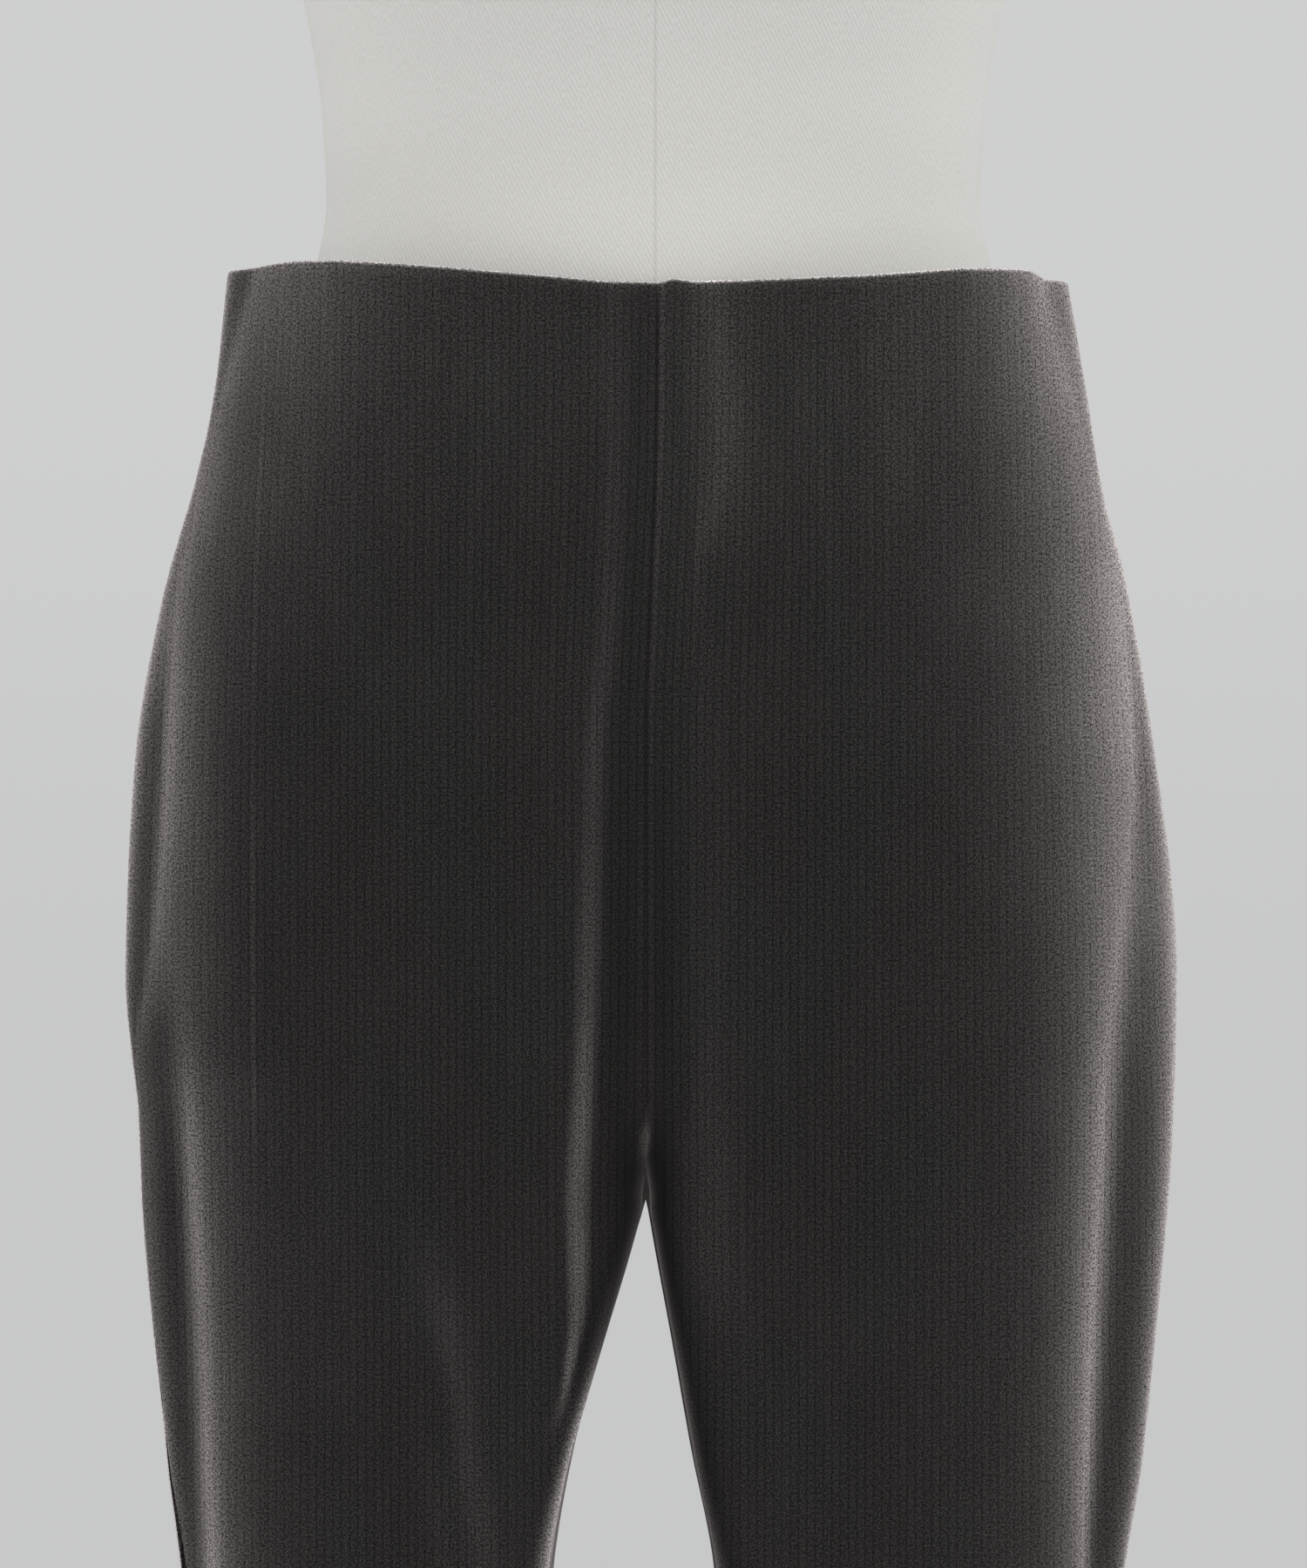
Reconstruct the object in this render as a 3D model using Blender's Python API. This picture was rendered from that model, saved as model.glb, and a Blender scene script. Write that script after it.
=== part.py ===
"""Tapered corduroy trousers standing on a limbless dress form.

Metres, +Z up. The trousers' front faces -Y, the wearer's left is +X, and the origin
is the middle of the base plate's underside. Each trouser panel is a thin wall through
level sections, from waist edge to hem. A section starts at the centre seam, or at the
inseam below the crotch, and ends at the side seam.
"""

import math

import bmesh
import bpy
import numpy as np

MM = 0.001

# Cloth
WALL = 1.8
SEAM_GAP = 0.3
# Points across a panel: from its centre edge to the shoulder, and on to the side seam
INNER_COLUMNS = 8
OUTER_COLUMNS = 10

# Heights of the trousers above the floor
WAIST = 1018.0
# Where the centre seam starts to run under the body, in front and behind, and how
# squarely it does so
FORK_FRONT = 738.0
FORK_BACK = 790.0
FORK_SQUARE = 2.3
CROTCH = 705.0
HEM = 92.0
CROTCH_Y = 11.0

# The waist edge against WAIST: over each front, as distance from the centre and height,
# and at centre back; and how far down the panels it still shifts the sections
WAIST_EDGES = {
    "right": (
        (0, -7.1), (18, -6.8), (35, -5.0), (52, -3.5),
        (70, -1.7), (88, -0.2), (105, 1.1), (122, 1.3),
    ),
    "left": (
        (0, -7.1), (5, -5.9), (12, -6.8), (27, -6.6), (45, -5.9),
        (70, -4.8), (88, -3.4), (105, -1.9), (122, -1.5),
    ),
}
WAIST_BACK = 9.0
WAIST_BLEND = 90.0
# How much lower the waist edge lies at the side seams, the distance from the centre at
# which it starts to drop, and over what width it drops
WAIST_DROPS = {"right": (2.0, 116.0, 26.0), "left": (2.7, 126.5, 8.0)}

ROWS_ABOVE_FORK = 12
ROWS_IN_FORK = 7
ROWS_IN_LEGS = 14

# Side view of the sections, in millimetres: y of the front plane and of the floor of the
# centre front's valley, and the same two behind
DEPTH_COLUMNS = ("z", "front", "floor", "back", "back_floor")
DEPTHS = (
    (1018, -94, -92, 94, 92),
    (960, -101, -98.5, 104, 101),
    (900, -107, -104, 114, 110),
    (840, -110, -106.2, 120, 115),
    (800, -110, -105.5, 120, 114),
    (750, -109, -103.8, 115, 109),
    (705, -107, -100.8, 107, 101),
    (660, -103, -98.8, 99, 94),
    (625, -99.7, -99, 94.9, 90.7),
    (575, -95, -94, 89, 86),
    (400, -72, -71, 74, 72),
    (240, -61, -60, 63, 62),
    (92, -56, -55, 57, 56),
)

# Front view of each side, in millimetres from the centre plane: the inseam (0 where the
# sides are one tube), the radius of the turn on to the inner face, the outer end of the
# valley's floor, the shoulder where its flank reaches the front plane, the ridge where
# the front turns away, how squarely it does so, the cloth's lean there and in the dip
# behind it, in degrees from the front plane, and the widest point.
WIDTH_COLUMNS = (
    "z", "inner", "turn", "core", "shoulder", "ridge", "square", "lean", "dip", "side",
)
RIGHT_WIDTHS = (
    (1018, 0, 4, 5, 21, 129.9, 2.3, 46, 30, 141.6),
    (977, 0, 4, 6, 21, 141.9, 2.7, 51, 42, 145.5),
    (953, 0, 4, 6, 20, 147.6, 2.9, 53, 48, 150.0),
    (905, 0, 4, 7, 20, 156.2, 3.3, 51, 46, 162.8),
    (857, 0, 5, 10.5, 23.5, 158.6, 3.8, 50, 30, 170.7),
    (815, 0, 5, 12, 25, 160.8, 3.8, 47, 30, 173.3),
    (779, 0, 5, 13, 26, 165.5, 3.4, 46, 36, 174.1),
    (755, 0, 5, 14.5, 26.5, 170.1, 3.1, 46, 42, 171.9),
    (737, 0, 5, 15.5, 27.5, 168.8, 2.9, 47, 47, 170.0),
    (705, 0, 6, 17, 29, 167.8, 2.8, 48, 48, 169.0),
    (697, 2, 6, 17.2, 28.5, 167.0, 2.8, 48, 48, 168.5),
    (690, 4, 6, 17.5, 28.2, 166.4, 2.8, 48, 48, 168.0),
    (665, 12, 6, 19, 28, 164.5, 2.8, 48, 48, 165.7),
    (641, 19.4, 5, 24.8, 31, 161.9, 2.8, 48, 48, 163.1),
    (617, 26, 5.5, 32.2, 46, 159.3, 2.8, 48, 48, 160.5),
    (575, 33.2, 8, 41.8, 58, 154.4, 2.8, 48, 48, 155.6),
    (400, 45, 10, 55, 68, 150.8, 2.8, 48, 48, 152.4),
    (240, 49, 10, 62, 72, 148.8, 2.8, 48, 48, 150.9),
    (92, 53, 10, 66, 76, 146.7, 2.6, 48, 48, 148.9),
)
LEFT_WIDTHS = (
    (1018, 0, 4, 12, 24, 129.8, 2.8, 52, 48, 140.9),
    (977, 0, 4, 14, 33, 139.6, 2.6, 53, 53, 147.0),
    (941, 0, 4, 11, 29, 150.3, 2.6, 55, 56, 152.4),
    (917, 0, 4, 7, 22, 156.8, 2.6, 56.5, 57, 159.1),
    (881, 0, 4, 7, 30, 160.0, 2.6, 57, 50, 166.1),
    (845, 0, 4, 7, 33, 161.0, 2.7, 55, 43, 171.1),
    (815, 0, 4, 8, 34, 158.3, 2.8, 53, 42, 175.2),
    (785, 0, 4, 8, 35, 154.4, 3.0, 50, 38, 177.0),
    (737, 0, 4, 8, 36, 149.6, 3.5, 50, 28, 175.5),
    (705, 0, 4, 8, 37, 148.1, 3.7, 51, 25, 173.6),
    (697, 1.4, 4, 8.2, 37.5, 147.7, 3.7, 51, 24.5, 172.8),
    (690, 2.5, 4, 8.5, 38, 147.4, 3.7, 51, 24, 172.2),
    (665, 6.6, 4, 12, 42, 146.2, 3.8, 52, 23, 169.8),
    (617, 14.9, 4, 20, 47, 144.2, 3.8, 50, 20, 164.6),
    (575, 23, 5, 29, 54, 143.3, 3.7, 48, 20, 158.0),
    (400, 35, 7, 44, 66, 140.7, 3.2, 46, 22, 152.3),
    (240, 42, 8, 52, 74, 137.1, 2.9, 45, 25, 148.2),
    (92, 47, 8, 57, 78, 134.3, 2.6, 45, 28, 144.6),
)

# The longest soft folds, as troughs pressed into a panel between two points given by
# their distance from the centre plane and their height
FOLD_COLUMNS = ("panel", "x_top", "z_top", "x_end", "z_end", "width", "depth")
FOLDS = (
    ("front_panel_right", 160, 812, 145, 430, 6.5, 3.0),
    ("front_panel_right", 82, 722, 50, 515, 11, 3.2),
    ("front_panel_right", 118, 540, 92, 300, 13, 3.5),
    ("front_panel_left", 70, 600, 96, 360, 13, 3.5),
    ("back_panel_right", 34, 742, 118, 672, 16, 4.5),
    ("back_panel_right", 92, 600, 72, 380, 13, 4.0),
    ("back_panel_left", 30, 738, 124, 660, 16, 5.0),
    ("back_panel_left", 84, 590, 106, 350, 13, 4.0),
)

# How far the centre seams lie to the wearer's left of the centre plane, and the distance
# from them at which the cloth no longer follows
SWAY_ROWS = ((1018, 3.0), (960, 2.4), (900, 0.2), (865, -0.9), (705, -0.9), (640, 0.0), (92, 0.0))
SWAY_REACH = 45.0

# How squarely the back turns into the side, and where the seat's fullest line runs
BACK_SQUARE = 2.9
SEAT_SHARE = 0.36
# The back's turn on to its inner face, and where its valley's floor ends
BACK_TURN = 9.0
BACK_CORE = 14.0
# How much of a superellipse the front face uses before its ridge
FACE_SHARE = 0.8
# Where the dip lies on the way from ridge to side seam, and how late the cloth turns on
DIP_SHARE = 0.35
DIP_POWER = 2.2
# Points of an outline nearer than this are one point
REPEAT = 1e-4
# How far each inner face has parted from the centre plane where it reaches the front or
# the back. The faces touch above the second height, and part over the third below it.
FORK_PARTING = 1.7
FORK_OPEN = 721.0
FORK_OPEN_RUN = 12.0
# The valley's floor is at least this wide beside the turn
LEAST_FLOOR = 0.3

# Dress form, in millimetres: half width, depth in front, depth behind and squareness
FORM_X = 1.5
FORM_COLUMNS = ("z", "half", "front", "back", "square")
FORM_SECTIONS = (
    (736, 130, 36, 64, 2.5),
    (739, 136, 42, 71, 2.4),
    (749, 143, 52, 82, 2.3),
    (768, 148, 68, 94, 2.2),
    (795, 151, 83, 103, 2.2),
    (830, 156, 95, 108, 2.2),
    (870, 156.5, 100, 108, 2.2),
    (910, 151.5, 98.5, 104.5, 2.2),
    (950, 142.5, 94, 97.5, 2.2),
    (990, 129, 88, 90, 2.2),
    (1025, 115.5, 85, 84, 2.2),
    (1045, 112.5, 84, 83, 2.2),
    (1075, 114, 86, 83, 2.2),
    (1115, 120.5, 93, 87, 2.2),
    (1160, 130, 104, 92, 2.2),
    (1205, 140, 118, 97, 2.2),
    (1240, 146, 121, 100, 2.2),
    (1280, 151, 110, 103, 2.2),
    (1325, 160, 93, 104, 2.2),
    (1362, 171, 77, 99, 2.3),
    (1384, 172, 64, 90, 2.3),
    (1398, 155, 56, 82, 2.2),
    (1410, 124, 52, 76, 2.1),
    (1422, 92, 49, 71, 2.0),
    (1436, 66, 47, 65, 2.0),
    (1456, 56, 47, 60, 2.0),
    (1482, 54, 47, 57, 2.0),
    (1488, 51, 44, 54, 2.0),
)
FORM_SIDES = 36

# Stand
BASE_RADIUS = 200.0
BASE_THICK = 8.0
BASE_EDGE = 2.0
POLE_X = 92.0
POLE_Y = 10.0
POLE_RADIUS = 12.5
SOCKET_RADIUS = 26.0
SOCKET_HEIGHT = 42.0
FLANGE_RADIUS = 26.0
FLANGE_THICK = 5.0
REST_GAP = 0.3


def monotone(rows, column, z):
    """The column's value at height z, on a smooth curve that never overshoots its rows."""
    table = np.array(sorted(rows), float)
    heights, values = table[:, 0], table[:, column]
    steps = np.diff(heights)
    slopes = np.diff(values) / steps
    tangents = np.zeros(len(values))
    for i in range(1, len(values) - 1):
        if slopes[i - 1] * slopes[i] > 0:
            first, second = 2 * steps[i] + steps[i - 1], steps[i] + 2 * steps[i - 1]
            tangents[i] = (first + second) / (first / slopes[i - 1] + second / slopes[i])
    tangents[0], tangents[-1] = slopes[0], slopes[-1]
    i = int(np.clip(np.searchsorted(heights, z) - 1, 0, len(steps) - 1))
    t = float(np.clip((z - heights[i]) / steps[i], 0, 1))
    return (
        values[i] * (1 + 2 * t) * (1 - t) ** 2
        + values[i + 1] * t * t * (3 - 2 * t)
        + steps[i] * t * (1 - t) * (tangents[i] * (1 - t) - tangents[i + 1] * t)
    )


def read_row(columns, rows, z):
    """Every named column at height z."""
    return {name: monotone(rows, i, z) for i, name in enumerate(columns) if i}


def quarter(flat_end, steep_end, square, count):
    """A quarter of a superellipse from a point where it runs along X to one where it
    runs along Y."""
    angle = np.linspace(0, math.pi / 2, count)
    across = np.sin(angle) ** (2 / square)
    along = np.cos(angle) ** (2 / square)
    x = flat_end[0] + (steep_end[0] - flat_end[0]) * across
    y = steep_end[1] + (flat_end[1] - steep_end[1]) * along
    return np.column_stack([x, y])


def joined(*stretches):
    """Stretches end to end, without repeated points."""
    line = np.vstack(stretches)
    moved = np.hypot(*np.diff(line, axis=0).T) > REPEAT
    return line[np.concatenate([[True], moved])]


def seam_depth(floor, start, z):
    """y of the centre seam: it follows the valley's floor down to where it starts to turn,
    then runs under the body to the crotch point as a quarter of a superellipse."""
    share = np.clip((start - z) / (start - CROTCH), 0, 1)
    return CROTCH_Y + (floor - CROTCH_Y) * (1 - share**FORK_SQUARE) ** (1 / FORK_SQUARE)


def eased(share):
    share = np.clip(share, 0, 1)
    return share * share * (3 - 2 * share)


def inner_stretch(width, turn, core, shoulder, seam_y, z):
    """From the centre seam, or the inseam, out to the shoulder on the front or back plane:
    along the inner face, round a tight turn on to the valley's floor and up its flank.
    core and shoulder are the two ends of the flank."""
    drop = seam_y - core[1]
    start = math.asin(1 - min(abs(drop) / turn, 1))
    opening = FORK_PARTING * eased((FORK_OPEN - z) / FORK_OPEN_RUN)
    angle = np.linspace(start, math.pi / 2, 24)
    turned_x = width["inner"] + opening + turn * (math.cos(start) - np.cos(angle))
    turned_y = core[1] + math.copysign(turn, drop) * (1 - np.sin(angle))
    share = np.linspace(0, 1, 30)
    floor_x = max(core[0], turned_x[-1] + LEAST_FLOOR)
    flank_x = floor_x + (shoulder[0] - floor_x) * share
    flank_y = core[1] + (shoulder[1] - core[1]) * eased(share)
    face = np.linspace((width["inner"], seam_y), (turned_x[0], turned_y[0]), 12)
    return joined(face, np.column_stack([turned_x, turned_y]), np.column_stack([flank_x, flank_y]))


def front_face(width, plane_y, count):
    """From the shoulder on the front plane out to the ridge, as the part of a superellipse
    that ends with the cloth at its lean."""
    square = width["square"]
    reach = width["ridge"] - width["shoulder"]
    end = (1 - FACE_SHARE) ** (1 / square)
    steepness = FACE_SHARE * end / (1 - FACE_SHARE)
    depth = math.tan(math.radians(width["lean"])) * reach * (1 - end) / steepness
    share = np.sin(np.linspace(0, math.pi / 2, count))
    fall = (1 - (1 - FACE_SHARE * share**square) ** (1 / square)) / (1 - end)
    return np.column_stack([width["shoulder"] + reach * share, plane_y + depth * fall])


def side_turn(width, ridge, count):
    """From the ridge to the side seam at the widest point: the cloth eases to the dip's
    lean and turns on until it faces sideways."""
    share = np.linspace(0, 1, count)
    into_dip = eased(share / DIP_SHARE)
    out_of_dip = np.clip((share - DIP_SHARE) / (1 - DIP_SHARE), 0, 1) ** DIP_POWER
    lean, dip = width["lean"], width["dip"]
    angle = np.radians(lean + (dip - lean) * into_dip + (90 - dip) * out_of_dip)
    middle = (angle[1:] + angle[:-1]) / 2
    steps = np.column_stack([np.cos(middle), np.sin(middle)])
    path = np.vstack([[0, 0], np.cumsum(steps, axis=0)])
    return ridge + path * (width["side"] - ridge[0]) / path[-1, 0]


def section(side_rows, z):
    """The front and back outlines of one side at height z, as points (x, y) with x
    outwards. Each is a stretch from the centre seam or inseam to the shoulder, and one
    from there to the side seam."""
    depth = read_row(DEPTH_COLUMNS, DEPTHS, z)
    width = read_row(WIDTH_COLUMNS, side_rows, z)
    front_seam = seam_depth(depth["floor"], FORK_FRONT, z)
    back_seam = seam_depth(depth["back_floor"], FORK_BACK, z)
    core = (width["core"], depth["floor"])
    shoulder = (width["shoulder"], depth["front"])
    back_core = (width["inner"] + BACK_CORE, depth["back_floor"])
    seat_x = width["inner"] + SEAT_SHARE * (width["side"] - width["inner"])
    seat = (seat_x, depth["back"])
    face = front_face(width, depth["front"], 80)
    turn = side_turn(width, face[-1], 61)
    front = (
        inner_stretch(width, width["turn"], core, shoulder, front_seam, z),
        joined(face, turn),
    )
    back = (
        inner_stretch(width, BACK_TURN, back_core, seat, back_seam, z),
        quarter(seat, turn[-1], BACK_SQUARE, 80),
    )
    return front, back


def spread(points, count, start_gap=0.0, end_gap=0.0):
    """count points along a stretch, closer where it turns, short of its ends by the gaps."""
    steps = np.diff(points, axis=0)
    lengths = np.hypot(steps[:, 0], steps[:, 1])
    along = np.concatenate([[0], np.cumsum(lengths)])
    heading = np.unwrap(np.arctan2(steps[:, 1], steps[:, 0]))
    turning = np.concatenate([[0, 0], np.cumsum(np.abs(np.diff(heading)))])
    weight = along / along[-1] + turning / (1.6 * math.pi)
    inside = np.interp([start_gap, along[-1] - end_gap], along, weight)
    wanted = np.linspace(inside[0], inside[1], count)
    place = np.interp(wanted, weight, along)
    return np.column_stack([np.interp(place, along, points[:, i]) for i in (0, 1)])


def row_heights():
    """Heights of the sections from the waist edge down to the hem. They crowd towards
    the crotch, where the centre seam runs level."""
    above = np.linspace(WAIST, FORK_BACK, ROWS_ABOVE_FORK)
    turn = np.linspace(0, math.pi / 2, ROWS_IN_FORK + 1)[1:]
    fork = FORK_BACK - (FORK_BACK - CROTCH) * np.sin(turn)
    share = np.linspace(0, 1, ROWS_IN_LEGS + 1)[1:]
    legs = CROTCH - (CROTCH - HEM) * share**1.25
    return np.concatenate([above, fork, legs])


def swayed(points):
    """Points, in an array of rows of (x, y, z), shifted along X with the centre seams."""
    heights = np.linspace(HEM, WAIST, 200)
    seam = np.array([monotone(SWAY_ROWS, 1, z) for z in heights])
    shift = np.interp(points[..., 2], heights, seam)
    shift *= np.exp(-((points[..., 0] / SWAY_REACH) ** 2))
    return points + shift[..., None] * np.array([1.0, 0.0, 0.0])


def waist_shift(side, x, y, z):
    """How far points of one section near the waist lie above it."""
    distances, heights = zip(*WAIST_EDGES[side])
    at_side = heights[-1]
    front = np.interp(x, distances, heights)
    back = at_side + (WAIST_BACK - at_side) * np.clip(y / DEPTHS[0][3], 0, 1) ** 2
    drop, start, width = WAIST_DROPS[side]
    dropped = drop * eased((x - start) / width)
    share = np.clip((z - (WAIST - WAIST_BLEND)) / WAIST_BLEND, 0, 1) ** 2
    return share * (np.where(y < 0, front, back) - dropped)


def fold_depth(panel, x, z):
    """How far a panel's face is pressed in at distance x from the centre plane."""
    depth = np.zeros_like(x)
    for row in FOLDS:
        fold = dict(zip(FOLD_COLUMNS, row))
        if fold["panel"] != panel:
            continue
        run = np.array([fold["x_end"] - fold["x_top"], fold["z_end"] - fold["z_top"]], float)
        length = np.hypot(*run)
        run /= length
        from_top = np.stack([x - fold["x_top"], z - fold["z_top"]])
        along = (from_top[0] * run[0] + from_top[1] * run[1]) / length
        aside = from_top[0] * run[1] - from_top[1] * run[0]
        ends = eased(along * 3) * eased((1 - along) * 3)
        depth += fold["depth"] * ends * np.exp(-((aside / fold["width"]) ** 2))
    return depth


def panel_grid(side, side_rows, sign, which):
    """Outer face of a panel: rows down from the waist, columns out to the side seam."""
    grid = []
    for z in row_heights():
        inner, outer = section(side_rows, z)[which]
        points = joined(
            spread(inner, INNER_COLUMNS, start_gap=SEAM_GAP / 2),
            spread(outer, OUTER_COLUMNS, end_gap=SEAM_GAP / 2),
        )
        x = np.maximum(points[:, 0], SEAM_GAP / 2)
        height = z + waist_shift(side, x, points[:, 1], z)
        grid.append(np.column_stack([sign * x, points[:, 1], height]))
    return np.array(grid)


def outward(grid, sign, which):
    """Unit normals of a panel's outer face. The centre seam's lie in the middle plane, and
    the inseam's face the other leg, so that the panels' edges meet squarely."""
    down = np.gradient(grid, axis=0)
    across = np.gradient(grid, axis=1)
    facing = -1 if which == 0 else 1
    normals = np.cross(across, down) * sign * facing
    crotch_row = ROWS_ABOVE_FORK + ROWS_IN_FORK - 1
    seam = down[:crotch_row, 0]
    normals[:crotch_row, 0] = facing * np.column_stack([0 * seam[:, 0], -seam[:, 2], seam[:, 1]])
    normals[crotch_row:, 0, 1] = 0
    normals[:, -1, 1] = 0
    return normals / np.linalg.norm(normals, axis=2, keepdims=True)


def wall_object(name, grid, normals, turned_over, material):
    """A closed wall: the outer face, the same face moved in by WALL, and four edges."""
    rows, columns = grid.shape[:2]
    inner = grid - normals * WALL
    inner[:, :, 0] = np.sign(grid[:, :, 0]) * np.maximum(
        np.abs(inner[:, :, 0]) * (np.sign(inner[:, :, 0]) == np.sign(grid[:, :, 0])),
        SEAM_GAP / 2,
    )
    points = swayed(np.vstack([grid.reshape(-1, 3), inner.reshape(-1, 3)])) * MM
    index = np.arange(rows * columns).reshape(rows, columns)
    offset = rows * columns
    faces = []
    for r in range(rows - 1):
        for c in range(columns - 1):
            corners = [index[r, c], index[r + 1, c], index[r + 1, c + 1], index[r, c + 1]]
            faces.append(corners)
            faces.append([corner + offset for corner in reversed(corners)])
    rim = np.concatenate([index[:, 0], index[-1, 1:], index[-2::-1, -1], index[0, -2:0:-1]])
    for first, second in zip(rim, np.roll(rim, -1)):
        faces.append([second, first, first + offset, second + offset])
    if turned_over:
        faces = [face[::-1] for face in faces]
    return mesh_object(name, points, faces, material)


def mesh_object(name, points, faces, material):
    mesh = bpy.data.meshes.new(name)
    mesh.from_pydata([tuple(map(float, p)) for p in points], [], [list(map(int, f)) for f in faces])
    mesh.update()
    mesh.shade_smooth()
    mesh.set_sharp_from_angle(angle=math.radians(40))
    mesh.materials.append(material)
    shown = bpy.data.objects.new(name, mesh)
    bpy.context.scene.collection.objects.link(shown)
    return shown


def plain_material(name, colour, roughness, metallic=0.0):
    material = bpy.data.materials.new(name)
    material.use_nodes = True
    shader = material.node_tree.nodes["Principled BSDF"]
    shader.inputs["Base Color"].default_value = (*colour, 1.0)
    shader.inputs["Roughness"].default_value = roughness
    shader.inputs["Metallic"].default_value = metallic
    return material


def make_panels(material):
    sides = (("right", RIGHT_WIDTHS, -1), ("left", LEFT_WIDTHS, 1))
    for side, side_rows, sign in sides:
        for which, place in enumerate(("front", "back")):
            name = f"{place}_panel_{side}"
            grid = panel_grid(side, side_rows, sign, which)
            pressed = fold_depth(name, np.abs(grid[:, :, 0]), grid[:, :, 2])
            grid -= outward(grid, sign, which) * pressed[:, :, None]
            normals = outward(grid, sign, which)
            turned_over = (sign > 0) != (which == 0)
            wall_object(name, grid, normals, turned_over, material)


def form_ring(row):
    """One level section of the dress form, counter-clockwise from +X."""
    angle = np.linspace(0, 2 * math.pi, FORM_SIDES, endpoint=False)
    cos, sin = np.cos(angle), np.sin(angle)
    power = 2 / row["square"]
    depth = np.where(sin > 0, row["back"], row["front"])
    x = FORM_X + row["half"] * np.sign(cos) * np.abs(cos) ** power
    y = depth * np.sign(sin) * np.abs(sin) ** power
    return np.column_stack([x, y, np.full(FORM_SIDES, row["z"])])


def make_form(material):
    """The whole torso: rings bridged from the flat underside to the top of the neck."""
    rings = [form_ring(dict(zip(FORM_COLUMNS, row))) for row in FORM_SECTIONS]
    points = np.vstack(rings) * MM
    faces = [list(range(FORM_SIDES))[::-1]]
    for r in range(len(rings) - 1):
        start = r * FORM_SIDES
        for c in range(FORM_SIDES):
            after = (c + 1) % FORM_SIDES
            low, high = start, start + FORM_SIDES
            faces.append([low + c, low + after, high + after, high + c])
    top = (len(rings) - 1) * FORM_SIDES
    faces.append([top + c for c in range(FORM_SIDES)])
    return mesh_object("dress_form_torso", points, faces, material)


def turned(name, profile, centre, sides, material):
    """A solid of revolution about a vertical line, from (radius, height) pairs that run
    from the axis at the bottom to the axis at the top."""
    mesh = bmesh.new()
    loop = [mesh.verts.new((radius * MM, 0, height * MM)) for radius, height in profile]
    edges = [mesh.edges.new(pair) for pair in zip(loop, loop[1:])]
    bmesh.ops.spin(
        mesh, geom=loop + edges, axis=(0, 0, 1), cent=(0, 0, 0),
        steps=sides, angle=2 * math.pi, use_merge=True,
    )
    bmesh.ops.remove_doubles(mesh, verts=mesh.verts, dist=1e-6)
    bmesh.ops.recalc_face_normals(mesh, faces=mesh.faces)
    data = bpy.data.meshes.new(name)
    mesh.to_mesh(data)
    mesh.free()
    data.shade_smooth()
    data.set_sharp_from_angle(angle=math.radians(40))
    data.materials.append(material)
    shown = bpy.data.objects.new(name, data)
    shown.location = (centre[0] * MM, centre[1] * MM, 0)
    bpy.context.scene.collection.objects.link(shown)
    return shown


def make_stand(steel):
    plate = [
        (0, 0),
        (BASE_RADIUS, 0),
        (BASE_RADIUS, BASE_THICK - BASE_EDGE),
        (BASE_RADIUS - BASE_EDGE, BASE_THICK),
        (0, BASE_THICK),
    ]
    turned("base_plate", plate, (0, 0), 64, steel)
    foot = BASE_THICK + REST_GAP
    socket_top = foot + SOCKET_HEIGHT
    bore = POLE_RADIUS + REST_GAP
    socket = [
        (bore, foot),
        (SOCKET_RADIUS, foot),
        (SOCKET_RADIUS, foot + 8),
        (SOCKET_RADIUS - 8, foot + 14),
        (SOCKET_RADIUS - 8, socket_top - 2),
        (SOCKET_RADIUS - 10, socket_top),
        (bore, socket_top),
        (bore, foot),
    ]
    turned("pole_socket", socket, (POLE_X, POLE_Y), 24, steel)
    form_bottom = FORM_SECTIONS[0][0]
    flange_top = form_bottom - REST_GAP
    flange = [
        (bore, flange_top - FLANGE_THICK),
        (FLANGE_RADIUS, flange_top - FLANGE_THICK),
        (FLANGE_RADIUS, flange_top),
        (bore, flange_top),
        (bore, flange_top - FLANGE_THICK),
    ]
    turned("form_flange", flange, (POLE_X, POLE_Y), 24, steel)
    pole = [(0, foot), (POLE_RADIUS, foot), (POLE_RADIUS, flange_top), (0, flange_top)]
    turned("pole", pole, (POLE_X, POLE_Y), 20, steel)


def main():
    for old in list(bpy.data.objects):
        bpy.data.objects.remove(old, do_unlink=True)
    corduroy = plain_material("corduroy", (0.023, 0.022, 0.021), 0.95)
    twill = plain_material("form_twill", (0.62, 0.61, 0.57), 0.9)
    steel = plain_material("stand_steel", (0.75, 0.75, 0.74), 0.35, 0.8)
    make_panels(corduroy)
    make_form(twill)
    make_stand(steel)


main()
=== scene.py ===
"""Tapered corduroy trousers on a limbless dress form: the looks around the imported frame.

Sizes are in millimetres and turned to metres where a mesh is made. The trousers' front
faces -Y and the wearer's left is +X. A panel is a thin shell through level sections.
Its wales are real ridges that follow the straight grain: each is a line of constant
distance, along the cloth, from the panel's grain line.
"""

import math

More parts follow.
